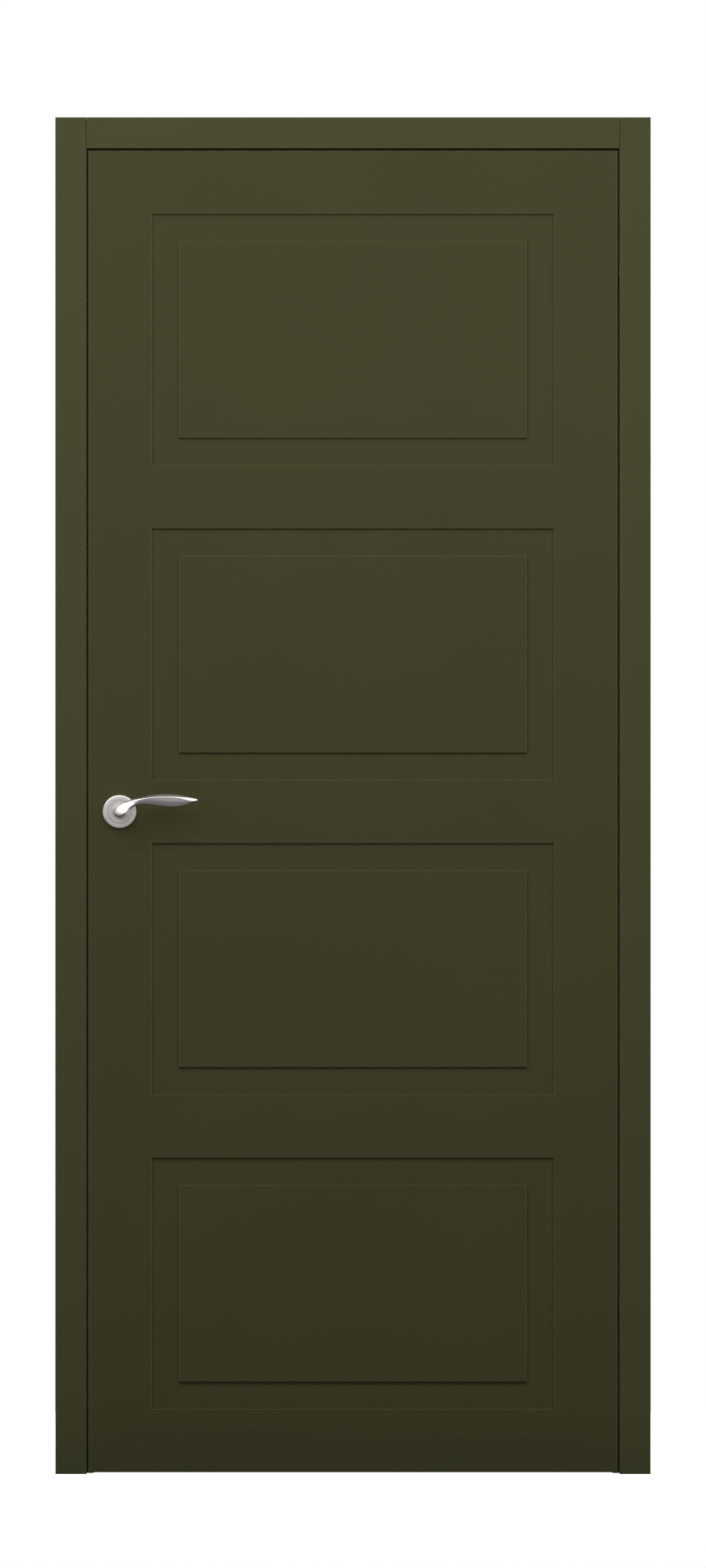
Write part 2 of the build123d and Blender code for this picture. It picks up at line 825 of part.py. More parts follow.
def rose_base(face):
    """Bearing disc that the lever's neck turns in, held by the through bolts."""
    with BuildPart() as base:
        with BuildSketch(Plane.XZ.offset(-face * leaf_half)):
            with Locations((hub_x, handle_z)):
                Circle(rose_base_radius)
                Circle(neck_radius + running_clearance, mode=Mode.SUBTRACT)
            with Locations(*rose_bolt_places):
                Circle(rose_bolt_radius + guide_clearance, mode=Mode.SUBTRACT)
        extrude(amount=-face * rose_base_height)
        with BuildSketch(Plane.XZ.offset(-face * (leaf_half + rose_base_height))):
            with Locations(*rose_bolt_places):
                Circle(rose_bolt_head_radius + guide_clearance)
        extrude(amount=face * rose_bolt_head_height, mode=Mode.SUBTRACT)
    return base


def rose_cover(face):
    """Turned cover over the rose base, with a fine ring groove round the neck."""
    section_plane = Plane(
        origin=(hub_x, face * leaf_half, handle_z), x_dir=(1, 0, 0), z_dir=(0, 0, face)
    )
    with BuildPart() as cover:
        with BuildSketch(section_plane) as section:
            with Locations((neck_radius + guide_clearance, 0)):
                Rectangle(
                    rose_radius - neck_radius - guide_clearance,
                    rose_height,
                    align=(Align.MIN, Align.MIN),
                )
            rim = section.vertices().group_by(Axis.X)[-1].sort_by(Axis.Y)[-1]
            fillet(rim, rose_rim_round)
            with Locations((0, 0)):
                Rectangle(
                    rose_radius - rose_wall,
                    rose_height - rose_wall,
                    align=(Align.MIN, Align.MIN),
                    mode=Mode.SUBTRACT,
                )
            with Locations((rose_groove_radius, rose_height)):
                Rectangle(
                    rose_groove_width,
                    rose_groove_depth,
                    align=(Align.CENTER, Align.MAX),
                    mode=Mode.SUBTRACT,
                )
        revolve(axis=Axis((hub_x, 0, handle_z), (0, 1, 0)))
    return cover


with BuildPart() as rose_bolts:
    bolt_length = leaf_thickness + 2 * rose_base_height
    with BuildSketch(Plane.XZ.offset(bolt_length / 2)):
        with Locations(*rose_bolt_places):
            Circle(rose_bolt_radius)
    extrude(amount=-bolt_length)
    for end in (-1, 1):
        with BuildSketch(Plane.XZ.offset(-end * bolt_length / 2)):
            with Locations(*rose_bolt_places):
                Circle(rose_bolt_head_radius)
        extrude(amount=end * rose_bolt_head_height)

with BuildPart() as spindle:
    with BuildSketch(Plane.XZ.offset(spindle_length / 2)):
        with Locations((hub_x, handle_z)):
            Rectangle(spindle_width, spindle_width)
    extrude(amount=-spindle_length)

grip_mid_y = -leaf_half - lever_reach + grip_mid_from_front
neck_start_y = -leaf_half - neck_inset
neck_end_y = -leaf_half - neck_reach
grub_y = -leaf_half - grub_from_face


def grip_section(station):
    """Section of the grip at a station: flat upper facet, fuller lower face, round back."""
    along, up, width, slope, ridge, back = station
    turn = math.radians(slope)
    section_plane = Plane(
        origin=(hub_x + along, grip_mid_y, handle_z + up),
        x_dir=(-math.sin(turn), 0, math.cos(turn)),
        z_dir=(math.cos(turn), 0, math.sin(turn)),
    )
    top = (width / 2, 0)
    ridge_point = (width / 2 - grip_ridge_share * width, ridge)
    bottom = (-width / 2, 0)
    face_middle = (
        (ridge_point[0] + bottom[0]) / 2,
        (ridge_point[1] + bottom[1]) / 2 + grip_face_bulge * ridge,
    )
    with BuildSketch(section_plane) as section:
        with BuildLine():
            Line(top, ridge_point)
            ThreePointArc(ridge_point, face_middle, bottom)
            ThreePointArc(bottom, (0, -back), top)
        make_face()
    return section.sketch


with BuildPart() as front_lever:
    with BuildSketch(Plane.XZ.offset(-neck_start_y)):
        with Locations((hub_x, handle_z)):
            Circle(neck_radius)
    extrude(amount=neck_start_y - neck_end_y)
    neck_end = front_lever.faces().sort_by(Axis.Y)[0]
    fillet(neck_end.edges(), neck_end_round)
    loft(sections=[grip_section(station) for station in grip_stations])
    with BuildSketch(Plane.XZ.offset(-neck_start_y)):
        with Locations((hub_x, handle_z)):
            Rectangle(
                spindle_width + 2 * seat_clearance, spindle_width + 2 * seat_clearance
            )
    extrude(amount=spindle_bore_depth, mode=Mode.SUBTRACT)
    with Locations((hub_x, grub_y, handle_z)):
        Cylinder(
            grub_radius + seat_clearance, neck_radius, align=top_aligned, mode=Mode.SUBTRACT
        )

with BuildPart() as back_lever:
    add(front_lever.part)
    mirror(about=Plane.XZ, mode=Mode.REPLACE)

with BuildPart() as grub_screws:
    grub_length = neck_radius - spindle_width / 2
    grub_z = handle_z - spindle_width / 2
    with Locations((hub_x, grub_y, grub_z), (hub_x, -grub_y, grub_z)):
        Cylinder(grub_radius, grub_length, align=top_aligned)

# All pieces by name
pieces = {
    "front_skin": front_skin,
    "back_skin": back_skin,
    "lock_stile": lock_stile,
    "lock_block": lock_block,
    "hinge_stile": hinge_stile,
    "bottom_rail": bottom_rail,
    "top_rail": top_rail,
    "core_boards": core_boards,
    "lock_jamb": lock_jamb,
    "hinge_jamb": hinge_jamb,
    "head_jamb": head_jamb,
    "corner_screws": corner_screws,
    "lock_seal": lock_seal,
    "hinge_seal": hinge_seal,
    "head_seal": head_seal,
    "lock_front_casing": lock_front_casing,
    "hinge_front_casing": hinge_front_casing,
    "head_front_casing": head_front_casing,
    "lock_back_casing": lock_back_casing,
    "hinge_back_casing": hinge_back_casing,
    "head_back_casing": head_back_casing,
    "strike_plate": strike_plate,
    "strike_box": strike_box,
    "strike_magnet": strike_magnet,
    "strike_screws": strike_screws,
    "frame_hinge_pins": frame_hinge_pins,
    "leaf_hinge_pins": leaf_hinge_pins,
    "frame_hinge_screws": frame_hinge_screws,
    "leaf_hinge_screws": leaf_hinge_screws,
    "latch_case": latch_case,
    "latch_cover": latch_cover,
    "forend": forend,
    "forend_screws": forend_screws,
    "latch_tongue": latch_tongue,
    "follower": follower,
    "front_rose_base": rose_base(-1),
    "back_rose_base": rose_base(1),
    "front_rose_cover": rose_cover(-1),
    "back_rose_cover": rose_cover(1),
    "rose_bolts": rose_bolts,
    "spindle": spindle,
    "front_lever": front_lever,
    "back_lever": back_lever,
    "grub_screws": grub_screws,
}
for level, hinge_z in hinge_levels.items():
    pieces[f"{level}_frame_housing"] = hinge_housing(rebate_x, 1, hinge_z, frame_pins)
    pieces[f"{level}_leaf_housing"] = hinge_housing(leaf_edge, -1, hinge_z, leaf_pins)
    for arm_name, (layer, holes) in arm_kinds.items():
        pieces[f"{level}_{arm_name}"] = hinge_arm(hinge_z, layer, holes)
    pieces[f"{level}_frame_arm_pins"] = link_pins(hinge_z, [(1, 1, 1), (1, arm_scale, 2)])
    pieces[f"{level}_leaf_arm_pin"] = link_pins(hinge_z, [(arm_scale, 1, 0)])

os.makedirs("parts", exist_ok=True)
for name, piece in pieces.items():
    piece.part.label = name
    export_step(piece.part, f"parts/{name}.step")
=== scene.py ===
"""Looks of a panelled interior door in its frame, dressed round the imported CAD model.

Everything is in metres in the part's own frame: +X from the lock side to the hinge side, -Y out
of the front face, +Z up, with the origin on the floor in the middle of the leaf.
"""

import logging
import math
from dataclasses import dataclass, field
from enum import Enum

import bmesh
import bpy
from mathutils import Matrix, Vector


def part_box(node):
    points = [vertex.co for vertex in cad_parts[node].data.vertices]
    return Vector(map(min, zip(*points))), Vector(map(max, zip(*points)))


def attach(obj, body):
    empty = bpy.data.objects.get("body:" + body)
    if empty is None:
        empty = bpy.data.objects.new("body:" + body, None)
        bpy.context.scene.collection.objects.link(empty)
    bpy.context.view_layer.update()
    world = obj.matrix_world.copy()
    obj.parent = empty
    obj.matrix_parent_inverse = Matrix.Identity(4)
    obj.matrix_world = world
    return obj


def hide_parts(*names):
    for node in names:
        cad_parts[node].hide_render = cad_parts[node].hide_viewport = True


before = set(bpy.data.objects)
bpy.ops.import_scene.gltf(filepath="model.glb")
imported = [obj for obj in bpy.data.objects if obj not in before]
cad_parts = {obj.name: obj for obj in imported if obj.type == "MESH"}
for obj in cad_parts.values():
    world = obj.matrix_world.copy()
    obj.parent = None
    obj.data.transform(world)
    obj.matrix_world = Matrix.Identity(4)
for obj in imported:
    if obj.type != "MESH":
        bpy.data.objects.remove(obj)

LOG = logging.getLogger("door")
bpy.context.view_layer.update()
MM = 0.001
WELD = 0.001 * MM
NICKEL = (0.60, 0.575, 0.555)
HUB = (-0.353, 0.0, 1.0027)

Pair = tuple[float, float]
Triple = tuple[float, float, float]
Stops = tuple[Pair, Pair]
Outline = list[Pair]
Creases = tuple[tuple[int, float], ...]
Ring = list[bmesh.types.BMVert]
Form = bmesh.types.BMesh
Socket = bpy.types.NodeSocket


class Slot(Enum):
    """Material slots of the record; nothing in this script uses them."""

    NICKEL = "satin_nickel"
    STEEL = "zinc_plated_steel"


class Grain(Enum):
    """Direction that a board's grain or a brushed finish runs in."""

    ALONG_X = 0
    ALONG_Z = 2


class Face(Enum):
    """Side of the leaf that a fitting is on."""

    FRONT = -1
    BACK = 1


class NodeGraph:
    """Node tree with short ways to add and join nodes."""

    def __init__(self, tree: bpy.types.NodeTree) -> None:
        """Take over a node tree."""
        self.tree = tree

    def node(
        self, kind: str, inputs: dict[str | int, object] | None = None, **settings: object
    ) -> bpy.types.Node:
        """Add a node and fill its inputs.

        Args:
            kind: Type of the node, without the word ShaderNode.
            inputs: Names or numbers of inputs, each with the output or the value it gets.
            settings: Properties of the node.

        Returns:
            The node.
        """
        node = self.tree.nodes.new(f"ShaderNode{kind}")
        for name, value in settings.items():
            setattr(node, name, value)
        for socket, value in (inputs or {}).items():
            if isinstance(value, Socket):
                self.tree.links.new(value, node.inputs[socket])
            else:
                node.inputs[socket].default_value = value
        return node

    def maths(self, operation: str, *values: Socket | float) -> Socket:
        """Combine one or two values.

        Args:
            operation: Name of the operation.
            values: Outputs or numbers.

        Returns:
            The result.
        """
        node = self.node("Math", dict(enumerate(values)), operation=operation)
        return node.outputs["Value"]

    def ranged(
        self, value: Socket, source: Pair, result: Pair = (0.0, 1.0), curve: str = "LINEAR"
    ) -> Socket:
        """Map a range of a value onto another range, held at both ends.

        Args:
            value: The value.
            source: Ends of its range.
            result: Results at the two ends.
            curve: Way from one end to the other.

        Returns:
            The mapped value.
        """
        ends = {"From Min": source[0], "From Max": source[1], "To Min": result[0],
                "To Max": result[1], "Value": value}
        return self.node("MapRange", ends, interpolation_type=curve).outputs["Result"]


class ShaderGraph(NodeGraph):
    """Node tree of one material with a Principled shader."""

    ARRIS_FOOT = (0.05, 0.4)
    ARRIS_CROWN = (0.9, 0.995)
    ARRIS_UPPER = (-0.35, -0.1)
    SEAM_CORE = 0.4

    def __init__(self, name: str) -> None:
        """Start a material.

        Args:
            name: Name of the material.
        """
        self.material = bpy.data.materials.new(name)
        self.material.use_nodes = True
        super().__init__(self.material.node_tree)
        self.shader = self.tree.nodes["Principled BSDF"]
        coordinates = self.node("TexCoord").outputs
        self.place = coordinates["Object"]
        self.normal = coordinates["Normal"]

    def set(self, **values: object) -> None:
        """Set the shader's own sockets, with underscores for the spaces of their names."""
        for socket, value in values.items():
            self.shader.inputs[socket.replace("_", " ")].default_value = value

    def join(self, source: Socket, socket: str) -> None:
        """Join an output to one of the shader's sockets."""
        self.tree.links.new(source, self.shader.inputs[socket])

    def mapped(self, scale: Triple, offset: Triple = (0.0, 0.0, 0.0)) -> Socket:
        """Stretch and shift the object coordinates.

        Args:
            scale: Factor on each axis.
            offset: Shift on each axis, after the factor.

        Returns:
            The stretched coordinates.
        """
        node = self.node("Mapping", {"Scale": scale, "Location": offset, "Vector": self.place})
        return node.outputs["Vector"]

    def noise(
        self,
        vector: Socket,
        scale: float,
        detail: float,
        roughness: float = 0.5,
        distortion: float = 0.0,
    ) -> Socket:
        """Noise between 0 and 1.

        Args:
            vector: Coordinates it reads.
            scale: Features for each metre.
            detail: Number of finer layers.
            roughness: Weight of the finer layers.
            distortion: Swirl of the pattern.

        Returns:
            The noise value.
        """
        inputs = {"Scale": scale, "Detail": detail, "Roughness": roughness,
                  "Distortion": distortion, "Vector": vector}
        return self.node("TexNoise", inputs).outputs["Fac"]

    def cells(self, vector: Socket, scale: float, output: str = "Distance") -> Socket:
        """Cell pattern.

        Args:
            vector: Coordinates it reads.
            scale: Cells for each metre.
            output: Output wanted, Distance or Color.

        Returns:
            The chosen output.
        """
        return self.node("TexVoronoi", {"Scale": scale, "Vector": vector}).outputs[output]

    def ramp(self, value: Socket, stops: list[tuple[float, Triple]]) -> Socket:
        """Colour ramp over a value.

        Args:
            value: Value from 0 to 1.
            stops: Positions with their linear colours.

        Returns:
            The colour.
        """
        node = self.node("ValToRGB", {"Fac": value})
        elements = node.color_ramp.elements
        while len(elements) < len(stops):
            elements.new(0.5)
        for element, (position, colour) in zip(elements, stops):
            element.position = position
            element.color = (*colour, 1.0)
        return node.outputs["Color"]

    def tinted(self, value: Socket, colour: Triple, stops: Stops) -> Socket:
        """Vary a colour with a value.

        Args:
            value: Value from 0 to 1.
            colour: The colour.
            stops: Two positions, with the colour's factor at each.

        Returns:
            The varied colour.
        """
        return self.ramp(value, [(place, scaled(colour, factor)) for place, factor in stops])

    def rough(self, value: Socket, middle: float, spread: Pair) -> None:
        """Let a value set the roughness.

        Args:
            value: Value from 0 to 1.
            middle: The roughness that the spread is measured from.
            spread: What is added at 0 and at 1.
        """
        ends = (middle + spread[0], middle + spread[1])
        self.join(self.ranged(value, (0.0, 1.0), ends), "Roughness")

    def between(self, value: Socket, ends: Pair) -> Socket:
        """Rise softly from 0 to 1 between two values."""
        return self.ranged(value, ends, curve="SMOOTHSTEP")

    def arris(self, side_share: float) -> Socket:
        """Find the rounded edges that turn from a flat face to a side or upper edge, where the
        paint gets a painted highlight as if lit from above and the sides.

        Args:
            side_share: Extra value of an edge that looks sideways.

        Returns:
            About 1 in the middle of such an edge, 0 on flat faces and on edges that look down.
        """
        split = self.node("SeparateXYZ", {"Vector": self.normal}).outputs
        facing = self.maths("ABSOLUTE", split["Y"])
        turned = self.maths("SUBTRACT", self.between(facing, self.ARRIS_FOOT),
                            self.between(facing, self.ARRIS_CROWN))
        # edges that look down get no painted highlight, since the light it stands for comes from
        # above
        upper = self.between(split["Z"], self.ARRIS_UPPER)
        sideways = self.maths("ABSOLUTE", split["X"])
        extra = self.maths("ADD", self.maths("MULTIPLY", sideways, side_share), 1.0)
        return self.maths("MULTIPLY", self.maths("MULTIPLY", turned, upper), extra)

    def seam(self, side: float, foot: float, half: float) -> Socket:
        """Find the upright joints where the head board stands between the side boards.

        Args:
            side: Distance of a joint from the middle.
            foot: Height that the joints start at.
            half: Half width of the line.

        Returns:
            About 1 on the joints, 0 elsewhere.
        """
        split = self.node("SeparateXYZ", {"Vector": self.place}).outputs
        across = self.maths("ABSOLUTE", split["X"])
        away = self.maths("ABSOLUTE", self.maths("SUBTRACT", across, side))
        above = self.between(split["Z"], (foot, foot + half))
        clear = self.between(away, (self.SEAM_CORE * half, half))
        return self.maths("SUBTRACT", above, self.maths("MULTIPLY", above, clear))

    def brightened(self, colour: Socket, share: Socket, lift: float) -> Socket:
        """Raise or lower a colour where a share is set.

        Args:
            colour: The colour.
            share: From 0 for the plain colour to 1 for the full lift.
            lift: Part of the colour that the full lift adds, below 0 to darken.

        Returns:
            The new colour.
        """
        factor = self.maths("ADD", self.maths("MULTIPLY", share, lift), 1.0)
        node = self.node("VectorMath", {0: colour, "Scale": factor}, operation="SCALE")
        return node.outputs["Vector"]

    def ring_distance(self, centre: Triple) -> Socket:
        """Coordinates that depend only on the distance from an axis along Y.

        Args:
            centre: A point on the axis.

        Returns:
            A vector with the distance in X and 0 elsewhere.
        """
        moved = self.mapped((1.0, 0.0, 1.0), (-centre[0], 0.0, -centre[2]))
        length = self.node("VectorMath", {0: moved}, operation="LENGTH")
        return self.node("CombineXYZ", {"X": length.outputs["Value"]}).outputs["Vector"]

    def bump(self, height: Socket, depth: float, strength: float) -> None:
        """Let a height move the shading.

        Args:
            height: Height from 0 to 1.
            depth: Real depth of the relief in metres.
            strength: Share of the effect.
        """
        node = self.node("Bump", {"Distance": depth, "Strength": strength, "Height": height})
        self.join(node.outputs["Normal"], "Normal")


def scaled(colour: Triple, factor: float) -> Triple:
    """Multiply a colour by a factor."""
    return (colour[0] * factor, colour[1] * factor, colour[2] * factor)


def grain_scale(grain: Grain, across: float, along: float) -> Triple:
    """Scale of a pattern that runs along a grain.

    Args:
        grain: Direction of the grain.
        across: Scale on the other two axes.
        along: Scale along the grain.

    Returns:
        The scale on each axis.
    """
    scale = [across, across, across]
    scale[grain.value] = along
    return tuple(scale)


@dataclass(frozen=True)
class Finish:
    """Material with a colour that varies in patches and a relief that also moves its shine."""

    name: str
    colour: Triple
    roughness: float = 0.34
    metallic: float = 1.0
    specular: float = 0.5
    rough_spread: Pair = (-0.06, 0.06)
    patch_scale: float = 140.0
    patch_detail: float = 2.0
    patches: Stops = ((0.3, 0.95), (0.7, 1.04))
    relief_scale: float = 1500.0
    relief_detail: float = 2.0
    relief_depth: float = 0.006 * MM
    relief_strength: float = 0.5

    def relief(self, graph: ShaderGraph) -> Socket:
        """Height of the surface, from 0 to 1."""
        return graph.noise(graph.place, self.relief_scale, self.relief_detail)

    def patch(self, graph: ShaderGraph) -> Socket:
        """Pattern of the colour, from 0 to 1."""
        return graph.noise(graph.place, self.patch_scale, self.patch_detail)

    def shine(self, graph: ShaderGraph, patch: Socket, relief: Socket) -> Socket:
        """Pattern of the roughness, from 0 to 1."""
        return relief

    def tone(self, graph: ShaderGraph, patch: Socket) -> Socket:
        """Colour of the surface."""
        return graph.tinted(patch, self.colour, self.patches)

    def build(self) -> bpy.types.Material:
        """Make the material.

        Returns:
            The material.
        """
        graph = ShaderGraph(self.name)
        relief = self.relief(graph)
        patch = self.patch(graph)
        graph.join(self.tone(graph, patch), "Base Color")
        graph.rough(self.shine(graph, patch, relief), self.roughness, self.rough_spread)
        graph.bump(relief, self.relief_depth, self.relief_strength)
        graph.set(Metallic=self.metallic, Specular_IOR_Level=self.specular)
        return graph.material


@dataclass(frozen=True)
class PaintFinish(Finish):
    """Sprayed satin paint with a fine orange peel, a faint cloudiness and a painted highlight on
    the arrises that face up or sideways.

    Where a seam's distance from the middle is set, the paint has a dark hairline there.
    """

    roughness: float = 0.45
    metallic: float = 0.0
    specular: float = 0.04
    rough_spread: Pair = (-0.05, 0.05)
    rough_scale: float = 60.0
    patch_scale: float = 3.5
    patch_detail: float = 3.0
    patches: Stops = ((0.25, 0.97), (0.75, 1.03))
    relief_scale: float = 700.0
    relief_detail: float = 1.0
    relief_depth: float = 0.04 * MM
    relief_strength: float = 0.35
    # painted highlight: share by which lit arrises are lightened, with more for those that face
    # sideways
    arris_highlight: float = 0.8
    side_highlight: float = 1.3
    seam_side: float = 0.0
    seam_foot: float = 0.0
    seam_half: float = 0.9 * MM
    seam_depth: float = 0.65

    def shine(self, graph: ShaderGraph, patch: Socket, relief: Socket) -> Socket:
        """Pattern of the roughness: smudges of its own."""
        return graph.noise(graph.place, self.rough_scale, self.patch_detail)

    def tone(self, graph: ShaderGraph, patch: Socket) -> Socket:
        """Cloudy colour with a painted highlight on its upper and side arrises, and its seams.

        Args:
            graph: The material's nodes.
            patch: The clouds.

        Returns:
            The colour.
        """
        colour = graph.tinted(patch, self.colour, self.patches)
        # painted highlight: arrises that face up or sideways are lightened as if they caught the
        # lamps
        colour = graph.brightened(colour, graph.arris(self.side_highlight), self.arris_highlight)
        if self.seam_side:
            seam = graph.seam(self.seam_side, self.seam_foot, self.seam_half)
            colour = graph.brightened(colour, seam, -self.seam_depth)
        return colour


@dataclass(frozen=True)
class BrushedFinish(Finish):
    """Plated metal with fine straight brush lines."""

    grain: Grain = Grain.ALONG_Z
    rough_spread: Pair = (-0.06, 0.08)
    relief_scale: float = 2500.0
    along_scale: float = 60.0

    def relief(self, graph: ShaderGraph) -> Socket:
        """Height of the brush lines."""
        scale = grain_scale(self.grain, self.relief_scale, self.along_scale)
        return graph.noise(graph.mapped(scale), 1.0, detail=3.0, roughness=0.6)


@dataclass(frozen=True)
class TurnedFinish(Finish):
    """Plated metal brushed in rings round an axis along Y."""

    centre: Triple = HUB
    rough_spread: Pair = (-0.05, 0.06)
    patch_scale: float = 120.0
    patches: Stops = ((0.3, 0.96), (0.7, 1.03))
    relief_scale: float = 3500.0

    def relief(self, graph: ShaderGraph) -> Socket:
        """Height of the rings."""
        rings = graph.ring_distance(self.centre)
        return graph.noise(rings, self.relief_scale, self.relief_detail, roughness=0.6)


@dataclass(frozen=True)
class PlatedFinish(Finish):
    """Bright zinc plate with a fine spangle."""

    tint: Triple = (0.50, 0.52, 0.55)
    roughness: float = 0.36
    rough_spread: Pair = (-0.08, 0.1)
    patch_scale: float = 420.0
    ends: Pair = (0.35, 0.65)
    relief_scale: float = 1800.0
    relief_depth: float = 0.01 * MM
    relief_strength: float = 0.4

    def patch(self, graph: ShaderGraph) -> Socket:
        """Pattern of the spangle."""
        return graph.noise(graph.place, self.patch_scale, 3.0, roughness=0.6, distortion=0.4)

    def shine(self, graph: ShaderGraph, patch: Socket, relief: Socket) -> Socket:
        """Pattern of the roughness: the spangle."""
        return patch

    def tone(self, graph: ShaderGraph, patch: Socket) -> Socket:
        """Colour between the tint and the bright zinc."""
        return graph.ramp(patch, list(zip(self.ends, (self.tint, self.colour))))


@dataclass(frozen=True)
class CastFinish(Finish):
    """Casting, bare or enamelled, with a fine grain on its skin."""

    specular: float = 0.4
    patch_scale: float = 90.0
    patch_detail: float = 3.0
    patches: Stops = ((0.3, 0.92), (0.7, 1.05))
    relief_depth: float = 0.03 * MM
    relief_strength: float = 0.4


@dataclass(frozen=True)
class MouldedFinish(Finish):
    """Dull moulded rubber or plastic with a fine stipple."""

    metallic: float = 0.0
    patch_scale: float = 45.0
    patch_detail: float = 3.0
    patches: Stops = ((0.3, 0.85), (0.7, 1.2))
    relief_scale: float = 1600.0
    relief_depth: float = 0.03 * MM
    relief_strength: float = 0.4

    def relief(self, graph: ShaderGraph) -> Socket:
        """Height of the stipple."""
        return graph.cells(graph.place, self.relief_scale)


@dataclass(frozen=True)
class WoodFinish:
    """Bare softwood with growth rings, late-wood streaks and pores along the grain."""

    name: str
    pale: Triple
    dark: Triple
    grain: Grain
    streak_scales: Pair = (55.0, 1.6)
    pore_scales: Pair = (900.0, 30.0)
    pore_share: float = 0.25
    ends: Triple = (0.32, 0.45, 0.65)
    middle_tone: float = 0.92
    roughness: float = 0.6
    rough_spread: Pair = (0.15, 0.0)
    specular: float = 0.25
    relief: float = 0.12 * MM
    relief_strength: float = 0.4

    def build(self) -> bpy.types.Material:
        """Make the material.

        Returns:
            The wood.
        """
        graph = ShaderGraph(self.name)
        along = graph.mapped(grain_scale(self.grain, *self.streak_scales))
        streaks = graph.noise(along, 1.0, detail=4.0, roughness=0.55, distortion=0.6)
        fine = graph.mapped(grain_scale(self.grain, *self.pore_scales))
        pores = graph.noise(fine, 1.0, detail=2.0)
        mixed = graph.maths("ADD", graph.maths("MULTIPLY", pores, self.pore_share),
                            graph.maths("MULTIPLY", streaks, 1.0 - self.pore_share))
        tones = (self.dark, scaled(self.pale, self.middle_tone), self.pale)
        graph.join(graph.ramp(mixed, list(zip(self.ends, tones))), "Base Color")
        graph.rough(mixed, self.roughness, self.rough_spread)
        graph.bump(mixed, self.relief, self.relief_strength)
        graph.set(Specular_IOR_Level=self.specular)
        return graph.material


@dataclass(frozen=True)
class BoardFinish:
    """Pressed chip board, with chips of different tone lying flat."""

    name: str
    pale: Triple
    dark: Triple
    chip_scale: Triple = (260.0, 500.0, 260.0)
    ends: Triple = (0.1, 0.5, 0.9)
    palest_tone: float = 1.1
    roughness: float = 0.8
    specular: float = 0.2
    relief: float = 0.15 * MM
    relief_strength: float = 0.4

    def build(self) -> bpy.types.Material:
        """Make the material.

        Returns:
            The board.
        """
        graph = ShaderGraph(self.name)
        chips = graph.cells(graph.mapped(self.chip_scale), 1.0, "Color")
        tones = (self.dark, self.pale, scaled(self.pale, self.palest_tone))
        graph.join(graph.ramp(chips, list(zip(self.ends, tones))), "Base Color")
        graph.bump(chips, self.relief, self.relief_strength)
        graph.set(Roughness=self.roughness, Specular_IOR_Level=self.specular)
        return graph.material


class Look(Enum):
    """All finishes of the door."""

    LEAF_PAINT = PaintFinish("leaf_paint", (0.0507, 0.0503, 0.0216))
    FRAME_PAINT = PaintFinish(
        "frame_paint", (0.0570, 0.0577, 0.0255), seam_side=0.4033, seam_foot=2.0065
    )
    LEVER_NICKEL = BrushedFinish("lever_nickel", NICKEL, 0.36, grain=Grain.ALONG_X)
    PLATE_NICKEL = BrushedFinish("plate_nickel", NICKEL)
    ROSE_NICKEL = TurnedFinish("rose_nickel", NICKEL)
    PLATED = PlatedFinish("bright_zinc_plate", (0.62, 0.64, 0.68))
    ENAMEL = CastFinish("hinge_enamel", (0.42, 0.42, 0.43), 0.38, 0.85)
    ZINC = CastFinish("bare_zinc", (0.30, 0.30, 0.31), 0.48)
    MAGNET = CastFinish("magnet_face", (0.045, 0.045, 0.05), 0.5, 0.6)
    RUBBER = MouldedFinish("seal_rubber", (0.085, 0.083, 0.065), 0.7, specular=0.3)
    PLASTIC = MouldedFinish("box_plastic", (0.02, 0.02, 0.022), 0.5, specular=0.4)
    SOFTWOOD = WoodFinish("rail_softwood", (0.50, 0.32, 0.16), (0.30, 0.15, 0.06), Grain.ALONG_X)
    CHIPS = BoardFinish("core_chips", (0.40, 0.27, 0.15), (0.20, 0.12, 0.06))


@dataclass
class Finishes:
    """Materials of the door, each made once and handed to the pieces."""

    made: dict[Look, bpy.types.Material] = field(default_factory=dict)

    def get(self, look: Look) -> bpy.types.Material:
        """Material of a finish, made on its first use.

        Args:
            look: The finish.

        Returns:
            The material.
        """
        if look not in self.made:
            self.made[look] = look.value.build()
        return self.made[look]

    def dress(self, nodes: list[str], look: Look) -> None:
        """Give CAD nodes a finish.

        Args:
            nodes: Names of the nodes.
            look: The finish.
        """
        for name in nodes:
            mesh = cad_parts[name].data
            mesh.materials.clear()
            mesh.materials.append(self.get(look))
            LOG.info("node %s is dressed in %s", name, look.value.name)


def shown(name: str, data: bpy.types.ID) -> bpy.types.Object:
    """Put a new object into the scene.

    Args:
        name: Name of the object.
        data: Its mesh, light or camera.

    Returns:
        The object.
    """
    thing = bpy.data.objects.new(name, data)
    bpy.context.scene.collection.objects.link(thing)
    return thing


def finished_piece(
    name: str, form: Form, material: bpy.types.Material, sharp_angle: float = 35.0
) -> bpy.types.Object:
    """Turn a bmesh into a shown piece with outward faces and smooth shading.

    Args:
        name: Name of the piece.
        form: The modelled shape, which is freed.
        material: Its material.
        sharp_angle: Angle in degrees above which an edge stays sharp.

    Returns:
        The piece.
    """
    bmesh.ops.remove_doubles(form, verts=form.verts, dist=WELD)
    bmesh.ops.recalc_face_normals(form, faces=form.faces)
    mesh = bpy.data.meshes.new(name)
    form.to_mesh(mesh)
    form.free()
    mesh.shade_smooth()
    mesh.set_sharp_from_angle(angle=math.radians(sharp_angle))
    mesh.materials.append(material)
    LOG.info("piece %s has %d faces", name, len(mesh.polygons))
    return shown(name, mesh)


def add_ring(
    form: Form, outline: Outline, centre: Vector, across: Vector, forward: Vector
) -> Ring:
    """Add one ring of a skin, set from a circle to its outline.

    Args:
        form: The bmesh it goes into.
        outline: Points as across and forward distances.
        centre: Middle of the ring.
        across: Direction of the first distance.
        forward: Direction of the second distance.

    Returns:
        The ring's vertices in order.
    """
    made = bmesh.ops.create_circle(form, cap_ends=False, segments=len(outline), radius=MM)
    for vert, (u, v) in zip(made["verts"], outline):
        vert.co = centre + across * u + forward * v
    return made["verts"]


